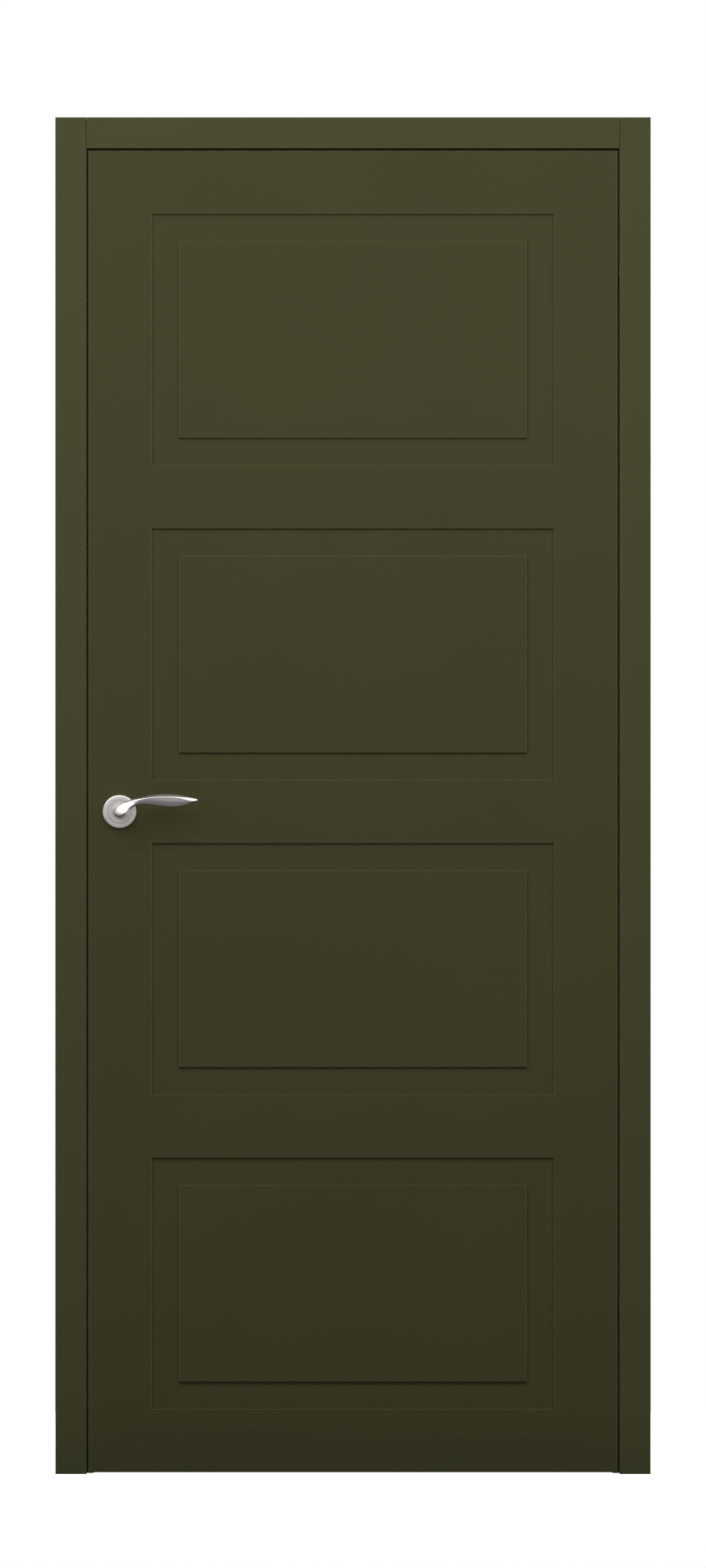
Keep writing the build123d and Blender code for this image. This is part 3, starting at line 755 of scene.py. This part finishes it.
def join_rings(form: Form, first: Ring, second: Ring) -> None:
    """Join two rings with a band of faces.

    Args:
        form: The bmesh they are in.
        first: Vertices of one ring.
        second: Vertices of the other ring.
    """
    edges = {edge for vert in first + second for edge in vert.link_edges
             if all(v in first for v in edge.verts) or all(v in second for v in edge.verts)}
    bmesh.ops.bridge_loops(form, edges=list(edges))


def close_skin(form: Form, rings: list[Ring]) -> None:
    """Join all rings of a skin in their order and cap its ends.

    Args:
        form: The bmesh they are in.
        rings: The rings, from one end to the other.
    """
    for first, second in zip(rings, rings[1:]):
        join_rings(form, first, second)
    for end in (rings[0], rings[-1]):
        bmesh.ops.contextual_create(form, geom=end)


def round_outline(radius: float, segments: int) -> Outline:
    """Points of a circle.

    Args:
        radius: Radius of the circle.
        segments: Number of points.

    Returns:
        The points in order.
    """
    turns = [2 * math.pi * step / segments for step in range(segments)]
    return [(radius * math.cos(turn), radius * math.sin(turn)) for turn in turns]


@dataclass
class RoseCover:
    """Turned cover of a rose, with a rolled rim and a fine ring groove."""

    face: Face
    leaf_half: float = 22.0 * MM
    radius: float = 26.0 * MM
    height: float = 8.0 * MM
    hole: float = 8.4 * MM
    wall: float = 1.4 * MM
    rim_width: float = 2.6 * MM
    rim_drop: float = 3.4 * MM
    groove_radius: float = 17.5 * MM
    groove_half: float = 0.35 * MM
    groove_depth: float = 0.5 * MM
    groove_lip: float = 0.15 * MM
    hole_round: Pair = (0.3 * MM, 0.1 * MM)
    rim_steps: int = 8
    turns: int = 128
    sharp_angle: float = 40.0

    def profile(self) -> Outline:
        """Closed section of the cover as radius and height above the leaf.

        Returns:
            The points in order round the section.
        """
        rim = []
        for step in range(self.rim_steps + 1):
            angle = math.pi / 2 * (1 - step / self.rim_steps)
            rim.append((self.radius - self.rim_width * (1 - math.cos(angle)),
                        self.height - self.rim_drop * (1 - math.sin(angle))))
        inside = self.radius - self.wall
        wide, narrow = self.hole_round
        near = self.groove_radius - self.groove_half
        far = self.groove_radius + self.groove_half
        return [
            (self.hole, self.height - self.wall),
            (self.hole, self.height - wide),
            (self.hole + narrow, self.height - narrow),
            (self.hole + wide, self.height),
            (near - self.groove_lip, self.height),
            (near, self.height - self.groove_lip),
            (self.groove_radius, self.height - self.groove_depth),
            (far, self.height - self.groove_lip),
            (far + self.groove_lip, self.height),
            *rim,
            (self.radius, 0.0),
            (inside, 0.0),
            (inside, self.height - self.rim_drop),
            (inside - self.rim_width, self.height - self.wall),
        ]

    def build(self, finishes: Finishes) -> bpy.types.Object:
        """Spin the section round the hub and put the cover on the leaf.

        Args:
            finishes: The door's finishes.

        Returns:
            The cover.
        """
        form = bmesh.new()
        points = [
            form.verts.new((HUB[0] + radius, self.face.value * (self.leaf_half + height), HUB[2]))
            for radius, height in self.profile()
        ]
        edges = [form.edges.new(ends) for ends in zip(points, points[1:] + points[:1])]
        bmesh.ops.spin(
            form, geom=points + edges, cent=HUB, axis=(0.0, 1.0, 0.0), angle=2 * math.pi,
            steps=self.turns, use_merge=True, use_duplicate=False,
        )
        side = self.face.name.lower()
        nickel = finishes.get(Look.ROSE_NICKEL)
        piece = finished_piece(f"{side}_rose", form, nickel, self.sharp_angle)
        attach(piece, "leaf")
        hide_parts(f"{side}_rose_cover")
        return piece


@dataclass(frozen=True)
class GripStation:
    """Section of the lever at one place: sizes in millimetres, slope in degrees.

    The shares tell how far down the front the upper facet ends, the bright facet ends and the
    lower face folds, and the columns tell which points of the outline lie there.
    """

    along: float
    up: float
    width: float
    slope: float
    front: float
    drop: float
    back: float
    shares: Triple = (0.22, 0.26, 0.60)
    columns: tuple[int, int, int] = (3, 4, 8)


@dataclass
class LeverHandle:
    """Lever with a round neck, an elbow with a sloping cut face and a ridged pointed grip."""

    face: Face
    leaf_half: float = 22.0 * MM
    neck_radius: float = 8.0 * MM
    neck_start: float = -1.0 * MM
    neck_straight: float = 38.0 * MM
    elbow_radius: float = 13.0 * MM
    elbow_slope: float = 37.0
    elbow_turns: tuple[float, ...] = (12.0, 24.0, 33.0, 40.0, 48.0, 60.0, 75.0, 90.0)
    elbow_taper: float = 0.17
    elbow_corner: float = 8.0
    cut_depth: float = 2.9 * MM
    cut_tilt: float = 10.0
    cut_edge: float = 0.01 * MM
    least_cosine: float = 0.01
    grip_middle: float = 51.0 * MM
    neck_step: float = 6.0 * MM
    segments: int = 24
    fold_depth: float = 0.80
    fold_curve: float = 0.7
    sharp_angle: float = 60.0
    levels: int = 2
    bend_rings: int = 3
    bend_creases: Creases = ((11, 0.5), (12, 0.3))
    grip_rings: int = 2
    grip_creases: Creases = ((0, 0.5), (3, 0.6), (4, 0.6), (8, 0.2), (12, 0.35))
    stations: tuple[GripStation, ...] = (
        GripStation(14.5, 10.2, 12.4, 36.0, 4.5, 2.2, 5.4, (0.15, 0.84, 0.93), (3, 9, 10)),
        GripStation(20.3, 13.2, 11.8, 26.0, 4.7, 1.9, 4.9, (0.20, 0.76, 0.88), (3, 8, 10)),
        GripStation(27.0, 15.5, 11.2, 17.0, 4.9, 0.7, 4.4, (0.23, 0.44, 0.68), (3, 5, 8)),
        GripStation(36.0, 17.1, 11.6, 9.0, 5.0, 0.3, 4.0, (0.25, 0.31, 0.60)),
        GripStation(48.8, 18.2, 14.9, 2.0, 5.0, 0.25, 3.6, (0.26, 0.30, 0.60)),
        GripStation(62.0, 18.0, 17.4, -1.0, 5.0, 0.25, 3.4, (0.23, 0.27, 0.60)),
        GripStation(75.0, 17.3, 18.9, -1.0, 4.9, 0.25, 3.2, (0.21, 0.25, 0.60)),
        GripStation(88.0, 16.9, 18.2, 0.0, 4.6, 0.25, 3.0, (0.21, 0.25, 0.60)),
        GripStation(98.0, 17.0, 14.8, 0.0, 4.0, 0.6, 2.7, (0.18, 0.38, 0.65)),
        GripStation(108.0, 17.3, 9.2, 0.0, 3.0, 1.2, 2.2, (0.12, 0.66, 0.82)),
        GripStation(115.0, 17.7, 4.5, 0.0, 2.0, 0.9, 1.6, (0.10, 0.80, 0.90)),
        GripStation(118.6, 17.9, 1.6, 0.0, 1.0, 0.3, 0.8, (0.10, 0.80, 0.90)),
    )

    def section(self, station: GripStation) -> Outline:
        """Outline of a grip section, anticlockwise from its upper edge.

        Args:
            station: The place on the grip.

        Returns:
            Points as across and forward distances in metres.
        """
        half = station.width / 2 * MM
        columns = (0, *station.columns, self.segments // 2)
        shares = (0.0, *station.shares, 1.0)
        depths = (0.0, station.front - station.drop, station.front,
                  self.fold_depth * station.front, 0.0)
        points = [(half, 0.0)]
        lower_face = len(columns) - 2
        for part in range(lower_face + 1):
            steps = columns[part + 1] - columns[part]
            for step in range(1, steps + 1):
                inside = step / steps
                share = shares[part] + (shares[part + 1] - shares[part]) * inside
                depth = depths[part] + (depths[part + 1] - depths[part]) * inside
                if part == lower_face:
                    depth = depths[part] * (1.0 - inside) ** self.fold_curve
                points.append((half * (1.0 - 2.0 * share), depth * MM))
        for step in range(self.segments // 2 + 1, self.segments):
            angle = 2 * math.pi * step / self.segments
            points.append((half * math.cos(angle), station.back * MM * math.sin(angle)))
        return points

    def elbow_section(self, circle: Outline, turn: float) -> Outline:
        """Outline of the elbow at a turn, where the sloping cut flattens its outer half.

        Args:
            circle: Outline of the neck.
            turn: Angle turned from the neck, in radians.

        Returns:
            Points as across and forward distances in metres.
        """
        taper = 1.0 - self.elbow_taper * (turn / (math.pi / 2)) ** 2
        slope = math.tan(math.radians(self.cut_tilt))
        outline = []
        for across, forward in circle:
            if forward > self.cut_edge:
                wall = (self.elbow_radius + forward) / max(math.cos(turn), self.least_cosine)
                cut = (self.elbow_radius + self.cut_depth - slope * across) / math.sin(turn)
                reach = (wall ** -self.elbow_corner + cut ** -self.elbow_corner) ** (
                    -1.0 / self.elbow_corner
                )
                forward = reach - self.elbow_radius
            outline.append((across * taper, forward))
        return outline

    def rings(self, form: Form) -> list[Ring]:
        """Add all rings of the skin, from the neck's start to the tip.

        Args:
            form: The bmesh they go into.

        Returns:
            The rings' vertices.
        """
        side = self.face.value
        hub = Vector(HUB)
        slope = math.radians(self.elbow_slope)
        heading = Vector((math.cos(slope), 0.0, math.sin(slope)))
        across = Vector((-math.sin(slope), 0.0, math.cos(slope)))
        outward = Vector((0.0, side, 0.0))
        circle = round_outline(self.neck_radius, self.segments)
        rings = []
        start = self.leaf_half + self.neck_start
        bend = self.leaf_half + self.neck_straight
        for reach in (start, start + self.neck_step, self.leaf_half + self.neck_straight / 2, bend):
            rings.append(add_ring(form, circle, hub + outward * reach, across, -heading))
        for degrees in self.elbow_turns:
            turn = math.radians(degrees)
            centre = (hub + outward * (bend + self.elbow_radius * math.sin(turn))
                      + heading * self.elbow_radius * (1 - math.cos(turn)))
            forward = outward * math.sin(turn) - heading * math.cos(turn)
            outline = self.elbow_section(circle, turn)
            rings.append(add_ring(form, outline, centre, across, forward))
        for station in self.stations:
            turn = math.radians(station.slope)
            centre = hub + Vector((station.along * MM, side * (self.leaf_half + self.grip_middle),
                                   station.up * MM))
            upward = Vector((-math.sin(turn), 0.0, math.cos(turn)))
            rings.append(add_ring(form, self.section(station), centre, upward, outward))
        return rings

    def crease(self, form: Form, rings: list[Ring]) -> None:
        """Keep the edges of the cut face and of the grip's facets crisp.

        Args:
            form: The bmesh with the joined skin.
            rings: The skin's rings.
        """
        layer = form.edges.layers.float.new("crease_edge")
        grip_start = len(rings) - len(self.stations)
        for index, (first, second) in enumerate(zip(rings, rings[1:])):
            if index >= grip_start + self.grip_rings:
                creased = self.grip_creases
            elif grip_start - self.bend_rings <= index < grip_start:
                creased = self.bend_creases
            else:
                creased = ()
            for column, strength in creased:
                edge = form.edges.get((first[column], second[column]))
                if edge is not None:
                    edge[layer] = strength

    def build(self, finishes: Finishes) -> bpy.types.Object:
        """Model the lever and hang it on its own body.

        Args:
            finishes: The door's finishes.

        Returns:
            The lever.
        """
        form = bmesh.new()
        rings = self.rings(form)
        close_skin(form, rings)
        self.crease(form, rings)
        name = f"{self.face.name.lower()}_lever_skin"
        nickel = finishes.get(Look.LEVER_NICKEL)
        piece = finished_piece(name, form, nickel, self.sharp_angle)
        smooth = piece.modifiers.new("smooth", "SUBSURF")
        smooth.levels = self.levels
        smooth.render_levels = self.levels
        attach(piece, "lever")
        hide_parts(f"{self.face.name.lower()}_lever")
        return piece


@dataclass
class ScrewRow:
    """Countersunk wood screws of one CAD node, with cross recesses and threads.

    They stand in pairs above and below the middle of each carrier and go in along X.
    """

    node: str
    carriers: tuple[str, ...]
    inward: int
    body: str
    segments: int = 24
    shank_share: float = 0.5
    core_share: float = 0.36
    inner_share: float = 0.75
    flat_share: float = 0.93
    rim_share: float = 0.07
    recess_share: float = 0.6
    recess_floor: float = 0.55
    recess_width: float = 0.21
    recess_depth: float = 0.55
    dish: float = 0.04 * MM
    core_start: float = 1.4
    point_length: float = 2.0
    point_share: float = 0.15
    thread_start: float = 1.5
    thread_pitch: float = 1.8 * MM
    thread_steps: int = 16
    ridge_width: float = 0.6
    ridge_foot: float = 0.97
    ridge_crown: float = 0.99

    def recess(self, size: float) -> Outline:
        """Outline of the cross recess.

        Args:
            size: Distance from its middle to the end of an arm.

        Returns:
            As many points as a ring of the screw has, in order.
        """
        side = size * self.recess_width
        middle = (size + side) / 2
        corners = []
        for arm in range(4):
            turn = math.pi / 2 * arm
            for u, v in ((size, 0.0), (size, side), (middle, side), (side, side),
                         (side, middle), (side, size)):
                corners.append((u * math.cos(turn) - v * math.sin(turn),
                                u * math.sin(turn) + v * math.cos(turn)))
        return corners

    def flat_ring(self, recess: Outline, radius: float, evenness: float) -> Outline:
        """Circle with a point beside each point of the recess.

        Args:
            recess: Outline of the recess.
            radius: Radius of the circle.
            evenness: From 0 for points in line with the recess's to 1 for even steps.

        Returns:
            The points in order.
        """
        points = []
        for step, (u, v) in enumerate(recess):
            level = math.atan2(v, u) % (2 * math.pi)
            turn = level + (2 * math.pi * step / len(recess) - level) * evenness
            points.append((radius * math.cos(turn), radius * math.sin(turn)))
        return points

    def add_screw(self, form: Form, face: Vector, head: float, length: float) -> None:
        """Model one screw.

        Args:
            form: The bmesh it goes into.
            face: Middle of its head's face.
            head: Radius of its head.
            length: Its length.
        """
        inward = Vector((self.inward, 0.0, 0.0))
        across, upward = Vector((0.0, 1.0, 0.0)), Vector((0.0, 0.0, 1.0))
        recess = self.recess(head * self.recess_share)
        shank, core = head * self.shank_share, head * self.core_share
        neck = head - shank
        sections = (
            (self.recess(head * self.recess_share * self.recess_floor), head * self.recess_depth),
            (recess, 2 * self.dish),
            (self.flat_ring(recess, head * self.inner_share, 0.0), self.dish),
            (self.flat_ring(recess, head * self.flat_share, 0.5), 0.0),
            (round_outline(head, self.segments), head * self.rim_share),
            (round_outline(shank, self.segments), neck),
            (round_outline(shank, self.segments), neck + shank),
            (round_outline(core, self.segments), neck + self.core_start * shank),
            (round_outline(core, self.segments), length - self.point_length * shank),
            (round_outline(core * self.point_share, self.segments), length),
        )
        rings = [add_ring(form, outline, face + inward * depth, across, upward)
                 for outline, depth in sections]
        close_skin(form, rings)
        start = neck + self.thread_start * shank
        turns = int((length - self.point_length * shank - start) / self.thread_pitch)
        width, foot = self.ridge_width * self.thread_pitch, core * self.ridge_foot
        corners = ((0.0, foot), (width / 2, shank * self.ridge_crown), (width, foot))
        ridge = [form.verts.new(face + inward * (start + depth) + upward * reach)
                 for depth, reach in corners]
        first_face = form.faces.new(ridge)
        bmesh.ops.spin(
            form, geom=[first_face, *ridge, *first_face.edges], cent=face, axis=(1.0, 0.0, 0.0),
            dvec=inward * (self.thread_pitch / self.thread_steps), angle=2 * math.pi * turns,
            steps=self.thread_steps * turns, use_merge=False, use_duplicate=False,
        )

    def build(self, finishes: Finishes) -> bpy.types.Object:
        """Model the row's screws where the CAD node has them.

        Args:
            finishes: The door's finishes.

        Returns:
            The screws, as one piece.
        """
        low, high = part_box(self.node)
        head = (high.y - low.y) / 2
        face_x = low.x if self.inward > 0 else high.x
        middles = [sum((corner.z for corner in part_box(name)), 0.0) / 2 for name in self.carriers]
        offset = middles[0] - (low.z + head)
        form = bmesh.new()
        for middle in middles:
            for side in (-1, 1):
                face = Vector((face_x, (low.y + high.y) / 2, middle + side * offset))
                self.add_screw(form, face, head, high.x - low.x)
        piece = finished_piece(f"{self.node}_threaded", form, finishes.get(Look.PLATED))
        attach(piece, self.body)
        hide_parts(self.node)
        return piece


@dataclass
class DoorLeaf:
    """Leaf with its skins, stiles, rails and core."""

    skins: tuple[str, ...] = (
        "front_skin", "back_skin", "lock_stile", "lock_block", "hinge_stile"
    )
    rails: tuple[str, ...] = ("bottom_rail", "top_rail")

    def build(self, finishes: Finishes) -> None:
        """Dress the leaf.

        Args:
            finishes: The door's finishes.
        """
        finishes.dress(list(self.skins), Look.LEAF_PAINT)
        finishes.dress(list(self.rails), Look.SOFTWOOD)
        finishes.dress(["core_boards"], Look.CHIPS)


@dataclass
class DoorFrame:
    """Linings, casings and seals."""

    sides: tuple[str, ...] = ("lock", "hinge", "head")

    def build(self, finishes: Finishes) -> None:
        """Dress the frame.

        Args:
            finishes: The door's finishes.
        """
        for side in self.sides:
            boards = [f"{side}_{board}" for board in ("jamb", "front_casing", "back_casing")]
            finishes.dress(boards, Look.FRAME_PAINT)
            finishes.dress([f"{side}_seal"], Look.RUBBER)
        finishes.dress(["corner_screws"], Look.PLATED)


@dataclass
class Hinges:
    """Both concealed hinges."""

    levels: tuple[str, ...] = ("lower", "upper")

    def build(self, finishes: Finishes) -> None:
        """Dress the hinges and model their screws.

        Args:
            finishes: The door's finishes.
        """
        castings = ("frame_housing", "leaf_housing", "frame_short_arm", "leaf_long_arm",
                    "frame_long_arm", "leaf_short_arm")
        for level in self.levels:
            finishes.dress([f"{level}_{part}" for part in castings], Look.ENAMEL)
            pins = [f"{level}_frame_arm_pins", f"{level}_leaf_arm_pin"]
            finishes.dress(pins, Look.PLATED)
        for body, inward in (("frame", 1), ("leaf", -1)):
            finishes.dress([f"{body}_hinge_pins", f"{body}_hinge_screws"], Look.PLATED)
            carriers = tuple(f"{level}_{body}_housing" for level in self.levels)
            ScrewRow(f"{body}_hinge_screws", carriers, inward, body).build(finishes)


@dataclass
class LatchSet:
    """Latch in the leaf and strike in the frame."""

    nickel: tuple[str, ...] = ("forend", "latch_tongue", "strike_plate")
    plated: tuple[str, ...] = ("latch_case", "latch_cover", "forend_screws", "strike_screws")

    def build(self, finishes: Finishes) -> None:
        """Dress the latch and the strike and model their screws.

        Args:
            finishes: The door's finishes.
        """
        finishes.dress(list(self.nickel), Look.PLATE_NICKEL)
        finishes.dress(list(self.plated), Look.PLATED)
        finishes.dress(["strike_box"], Look.PLASTIC)
        finishes.dress(["strike_magnet"], Look.MAGNET)
        finishes.dress(["follower"], Look.ZINC)
        ScrewRow("forend_screws", ("forend",), 1, "leaf").build(finishes)
        ScrewRow("strike_screws", ("strike_plate",), -1, "frame").build(finishes)


@dataclass
class HandleSet:
    """Roses and levers on both faces."""

    def build(self, finishes: Finishes) -> None:
        """Model both handles and dress what carries them.

        Args:
            finishes: The door's finishes.
        """
        for face in Face:
            RoseCover(face).build(finishes)
            LeverHandle(face).build(finishes)
            side = face.name.lower()
            finishes.dress([f"{side}_rose_base"], Look.ZINC)
            finishes.dress([f"{side}_lever", f"{side}_rose_cover"], Look.PLATE_NICKEL)
        finishes.dress(["spindle", "rose_bolts", "grub_screws"], Look.PLATED)


@dataclass
class Studio:
    """White studio with a key, a fill and a head-on light on each face, and the photo's camera."""

    middle_height: float = 1.0445
    lens: float = 400.0
    sensor: float = 36.0
    seen_height: float = 2.373
    front: float = -22.0 * MM
    light_side: float = 1.15
    light_front: float = 2.3
    key_height: float = 2.75
    fill_height: float = 2.4
    aim_height: float = 1.3
    light_size: float = 2.1
    key_power: float = 46.5
    fill_power: float = 34.0
    head_on_power: float = 0.55
    head_on_spread: float = 6.0
    ambient: float = 0.15
    mirror_front: float = 0.54
    mirror_side: float = 1.0
    mirror_low: float = 0.3
    mirror_high: float = 0.3
    mirror_turn: Pair = (0.45, 0.85)
    mirror_foot: Pair = (-0.5, -0.25)
    mirror_crown: Pair = (0.75, 0.95)
    white: Triple = (1.0, 1.0, 1.0)
    floor_tone: Triple = (0.9, 0.9, 0.9)
    floor_glow: float = 0.9
    floor_bounce: Triple = (0.12, 0.12, 0.12)
    floor_mirror_tone: Triple = (0.92, 0.90, 1.0)
    floor_mirror: float = 0.25
    floor_half: float = 2.6
    camera_reach: float = 200.0

    def soft_light(self, name: str, place: Triple, power: float) -> None:
        """Hang a square soft light that looks at the middle of the door.

        Args:
            name: Name of the light.
            place: Where it hangs.
            power: Its power in watts.
        """
        data = bpy.data.lights.new(name, "AREA")
        data.shape = "SQUARE"
        data.size = self.light_size
        data.energy = power
        light = shown(name, data)
        light.location = place
        direction = Vector((0.0, 0.0, self.aim_height)) - Vector(place)
        light.rotation_euler = direction.to_track_quat("-Z", "Y").to_euler()

    def head_on_light(self, name: str, face: Face) -> None:
        """Add a weak light that looks straight at one face, into its gaps and channels.

        Args:
            name: Name of the light.
            face: The face it lights.
        """
        data = bpy.data.lights.new(name, "SUN")
        data.energy = self.head_on_power
        data.angle = math.radians(self.head_on_spread)
        light = shown(name, data)
        light.location = (0.0, face.value * self.light_front, self.middle_height)
        light.rotation_euler = (math.pi / 2, 0.0, 0.0 if face is Face.FRONT else math.pi)
        light.visible_glossy = False

    def add_lights(self) -> None:
        """Light both faces.

        Each has a key and a fill, the key higher and always on the viewer's left, and a weak
        head-on light.
        """
        for face in Face:
            y = face.value * self.light_front
            key_x = face.value * self.light_side
            side = face.name.lower()
            self.soft_light(f"{side}_key", (key_x, y, self.key_height), self.key_power)
            self.soft_light(f"{side}_fill", (-key_x, y, self.fill_height), self.fill_power)
            self.head_on_light(f"{side}_head_on", face)

    def add_world(self) -> None:
        """Set what is round the door.

        The camera sees white, reflections see a room with bright sides, and everything else
        gets a low level.
        """
        world = bpy.data.worlds.new("studio")
        bpy.context.scene.world = world
        world.use_nodes = True
        graph = NodeGraph(world.node_tree)
        graph.tree.nodes.clear()
        path = graph.node("LightPath").outputs
        place = graph.node("TexCoord").outputs["Generated"]
        split = graph.node("SeparateXYZ", {"Vector": place}).outputs
        facing = graph.maths("ABSOLUTE", split["Y"])
        level = graph.ranged(facing, self.mirror_turn, (self.mirror_side, self.mirror_front))
        low = graph.ranged(split["Z"], self.mirror_foot, (self.mirror_low, 1.0))
        high = graph.ranged(split["Z"], self.mirror_crown, (1.0, self.mirror_high))
        mirrored = graph.maths("MULTIPLY", level, graph.maths("MULTIPLY", low, high))
        shiny = graph.maths("MAXIMUM", path["Is Glossy Ray"], path["Is Transmission Ray"])
        unseen = graph.node("Mix", {"Factor": shiny, "A": self.ambient, "B": mirrored})
        seen = graph.node(
            "Mix", {"Factor": path["Is Camera Ray"], "A": unseen.outputs["Result"], "B": 1.0}
        )
        background = graph.node(
            "Background", {"Color": (*self.white, 1.0), "Strength": seen.outputs["Result"]}
        )
        graph.node("OutputWorld", {"Surface": background.outputs["Background"]})

    def floor_material(self) -> bpy.types.Material:
        """Pale floor that reads white to the camera and keeps shadows.

        Reflections see it at a level of its own, and it throws little light back at the door.

        Returns:
            The material.
        """
        material = bpy.data.materials.new("pale_floor")
        material.use_nodes = True
        graph = NodeGraph(material.node_tree)
        graph.tree.nodes.clear()
        path = graph.node("LightPath").outputs
        shiny = graph.maths("MAXIMUM", path["Is Glossy Ray"], path["Is Transmission Ray"])
        matt = graph.node("BsdfDiffuse", {"Color": (*self.floor_tone, 1.0)})
        glow = graph.node("Emission", {"Strength": self.floor_glow})
        bright = graph.node("AddShader", {0: matt.outputs["BSDF"], 1: glow.outputs["Emission"]})
        tone = (*self.floor_mirror_tone, 1.0)
        mirrored = graph.node("Emission", {"Color": tone, "Strength": self.floor_mirror})
        dim = graph.node("BsdfDiffuse", {"Color": (*self.floor_bounce, 1.0)})
        unseen = graph.node(
            "MixShader", {"Fac": shiny, 1: dim.outputs["BSDF"], 2: mirrored.outputs["Emission"]}
        )
        choice = graph.node(
            "MixShader",
            {"Fac": path["Is Camera Ray"], 1: unseen.outputs["Shader"],
             2: bright.outputs["Shader"]},
        )
        graph.node("OutputMaterial", {"Surface": choice.outputs["Shader"]})
        return material

    def add_floor(self) -> None:
        """Lay the floor.

        It hangs on none of the door's bodies, so it belongs to the studio and not to the door.
        """
        form = bmesh.new()
        bmesh.ops.create_grid(form, x_segments=1, y_segments=1, size=self.floor_half)
        mesh = bpy.data.meshes.new("floor")
        form.to_mesh(mesh)
        form.free()
        mesh.materials.append(self.floor_material())
        floor = shown("floor", mesh)

    def add_camera(self) -> None:
        """Stand the camera square in front of the door.

        It is at the height of the picture's middle, with a long lens.
        """
        data = bpy.data.cameras.new("photo_camera")
        data.lens = self.lens
        data.sensor_fit = "VERTICAL"
        data.sensor_height = self.sensor
        data.clip_end = self.camera_reach
        camera = shown("photo_camera", data)
        distance = self.seen_height * self.lens / self.sensor
        camera.location = (0.0, self.front - distance, self.middle_height)
        camera.rotation_euler = (math.pi / 2, 0.0, 0.0)
        bpy.context.scene.camera = camera

    def build(self) -> None:
        """Set up the studio.

        That is the view, the camera, the lights, the world and the floor.
        """
        bpy.context.scene.view_settings.view_transform = "Standard"
        self.add_camera()
        self.add_lights()
        self.add_world()
        self.add_floor()


def main() -> None:
    """Build and dress the door, part by part.

    Each part writes a line to the log when it is done.
    """
    logging.basicConfig(level=logging.INFO, format="%(name)s: %(message)s")
    Studio().build()
    finishes = Finishes()
    for part in (DoorFrame(), DoorLeaf(), Hinges(), LatchSet(), HandleSet()):
        part.build(finishes)
        LOG.info("%s is done", type(part).__name__)


if __name__ == "__main__":
    main()
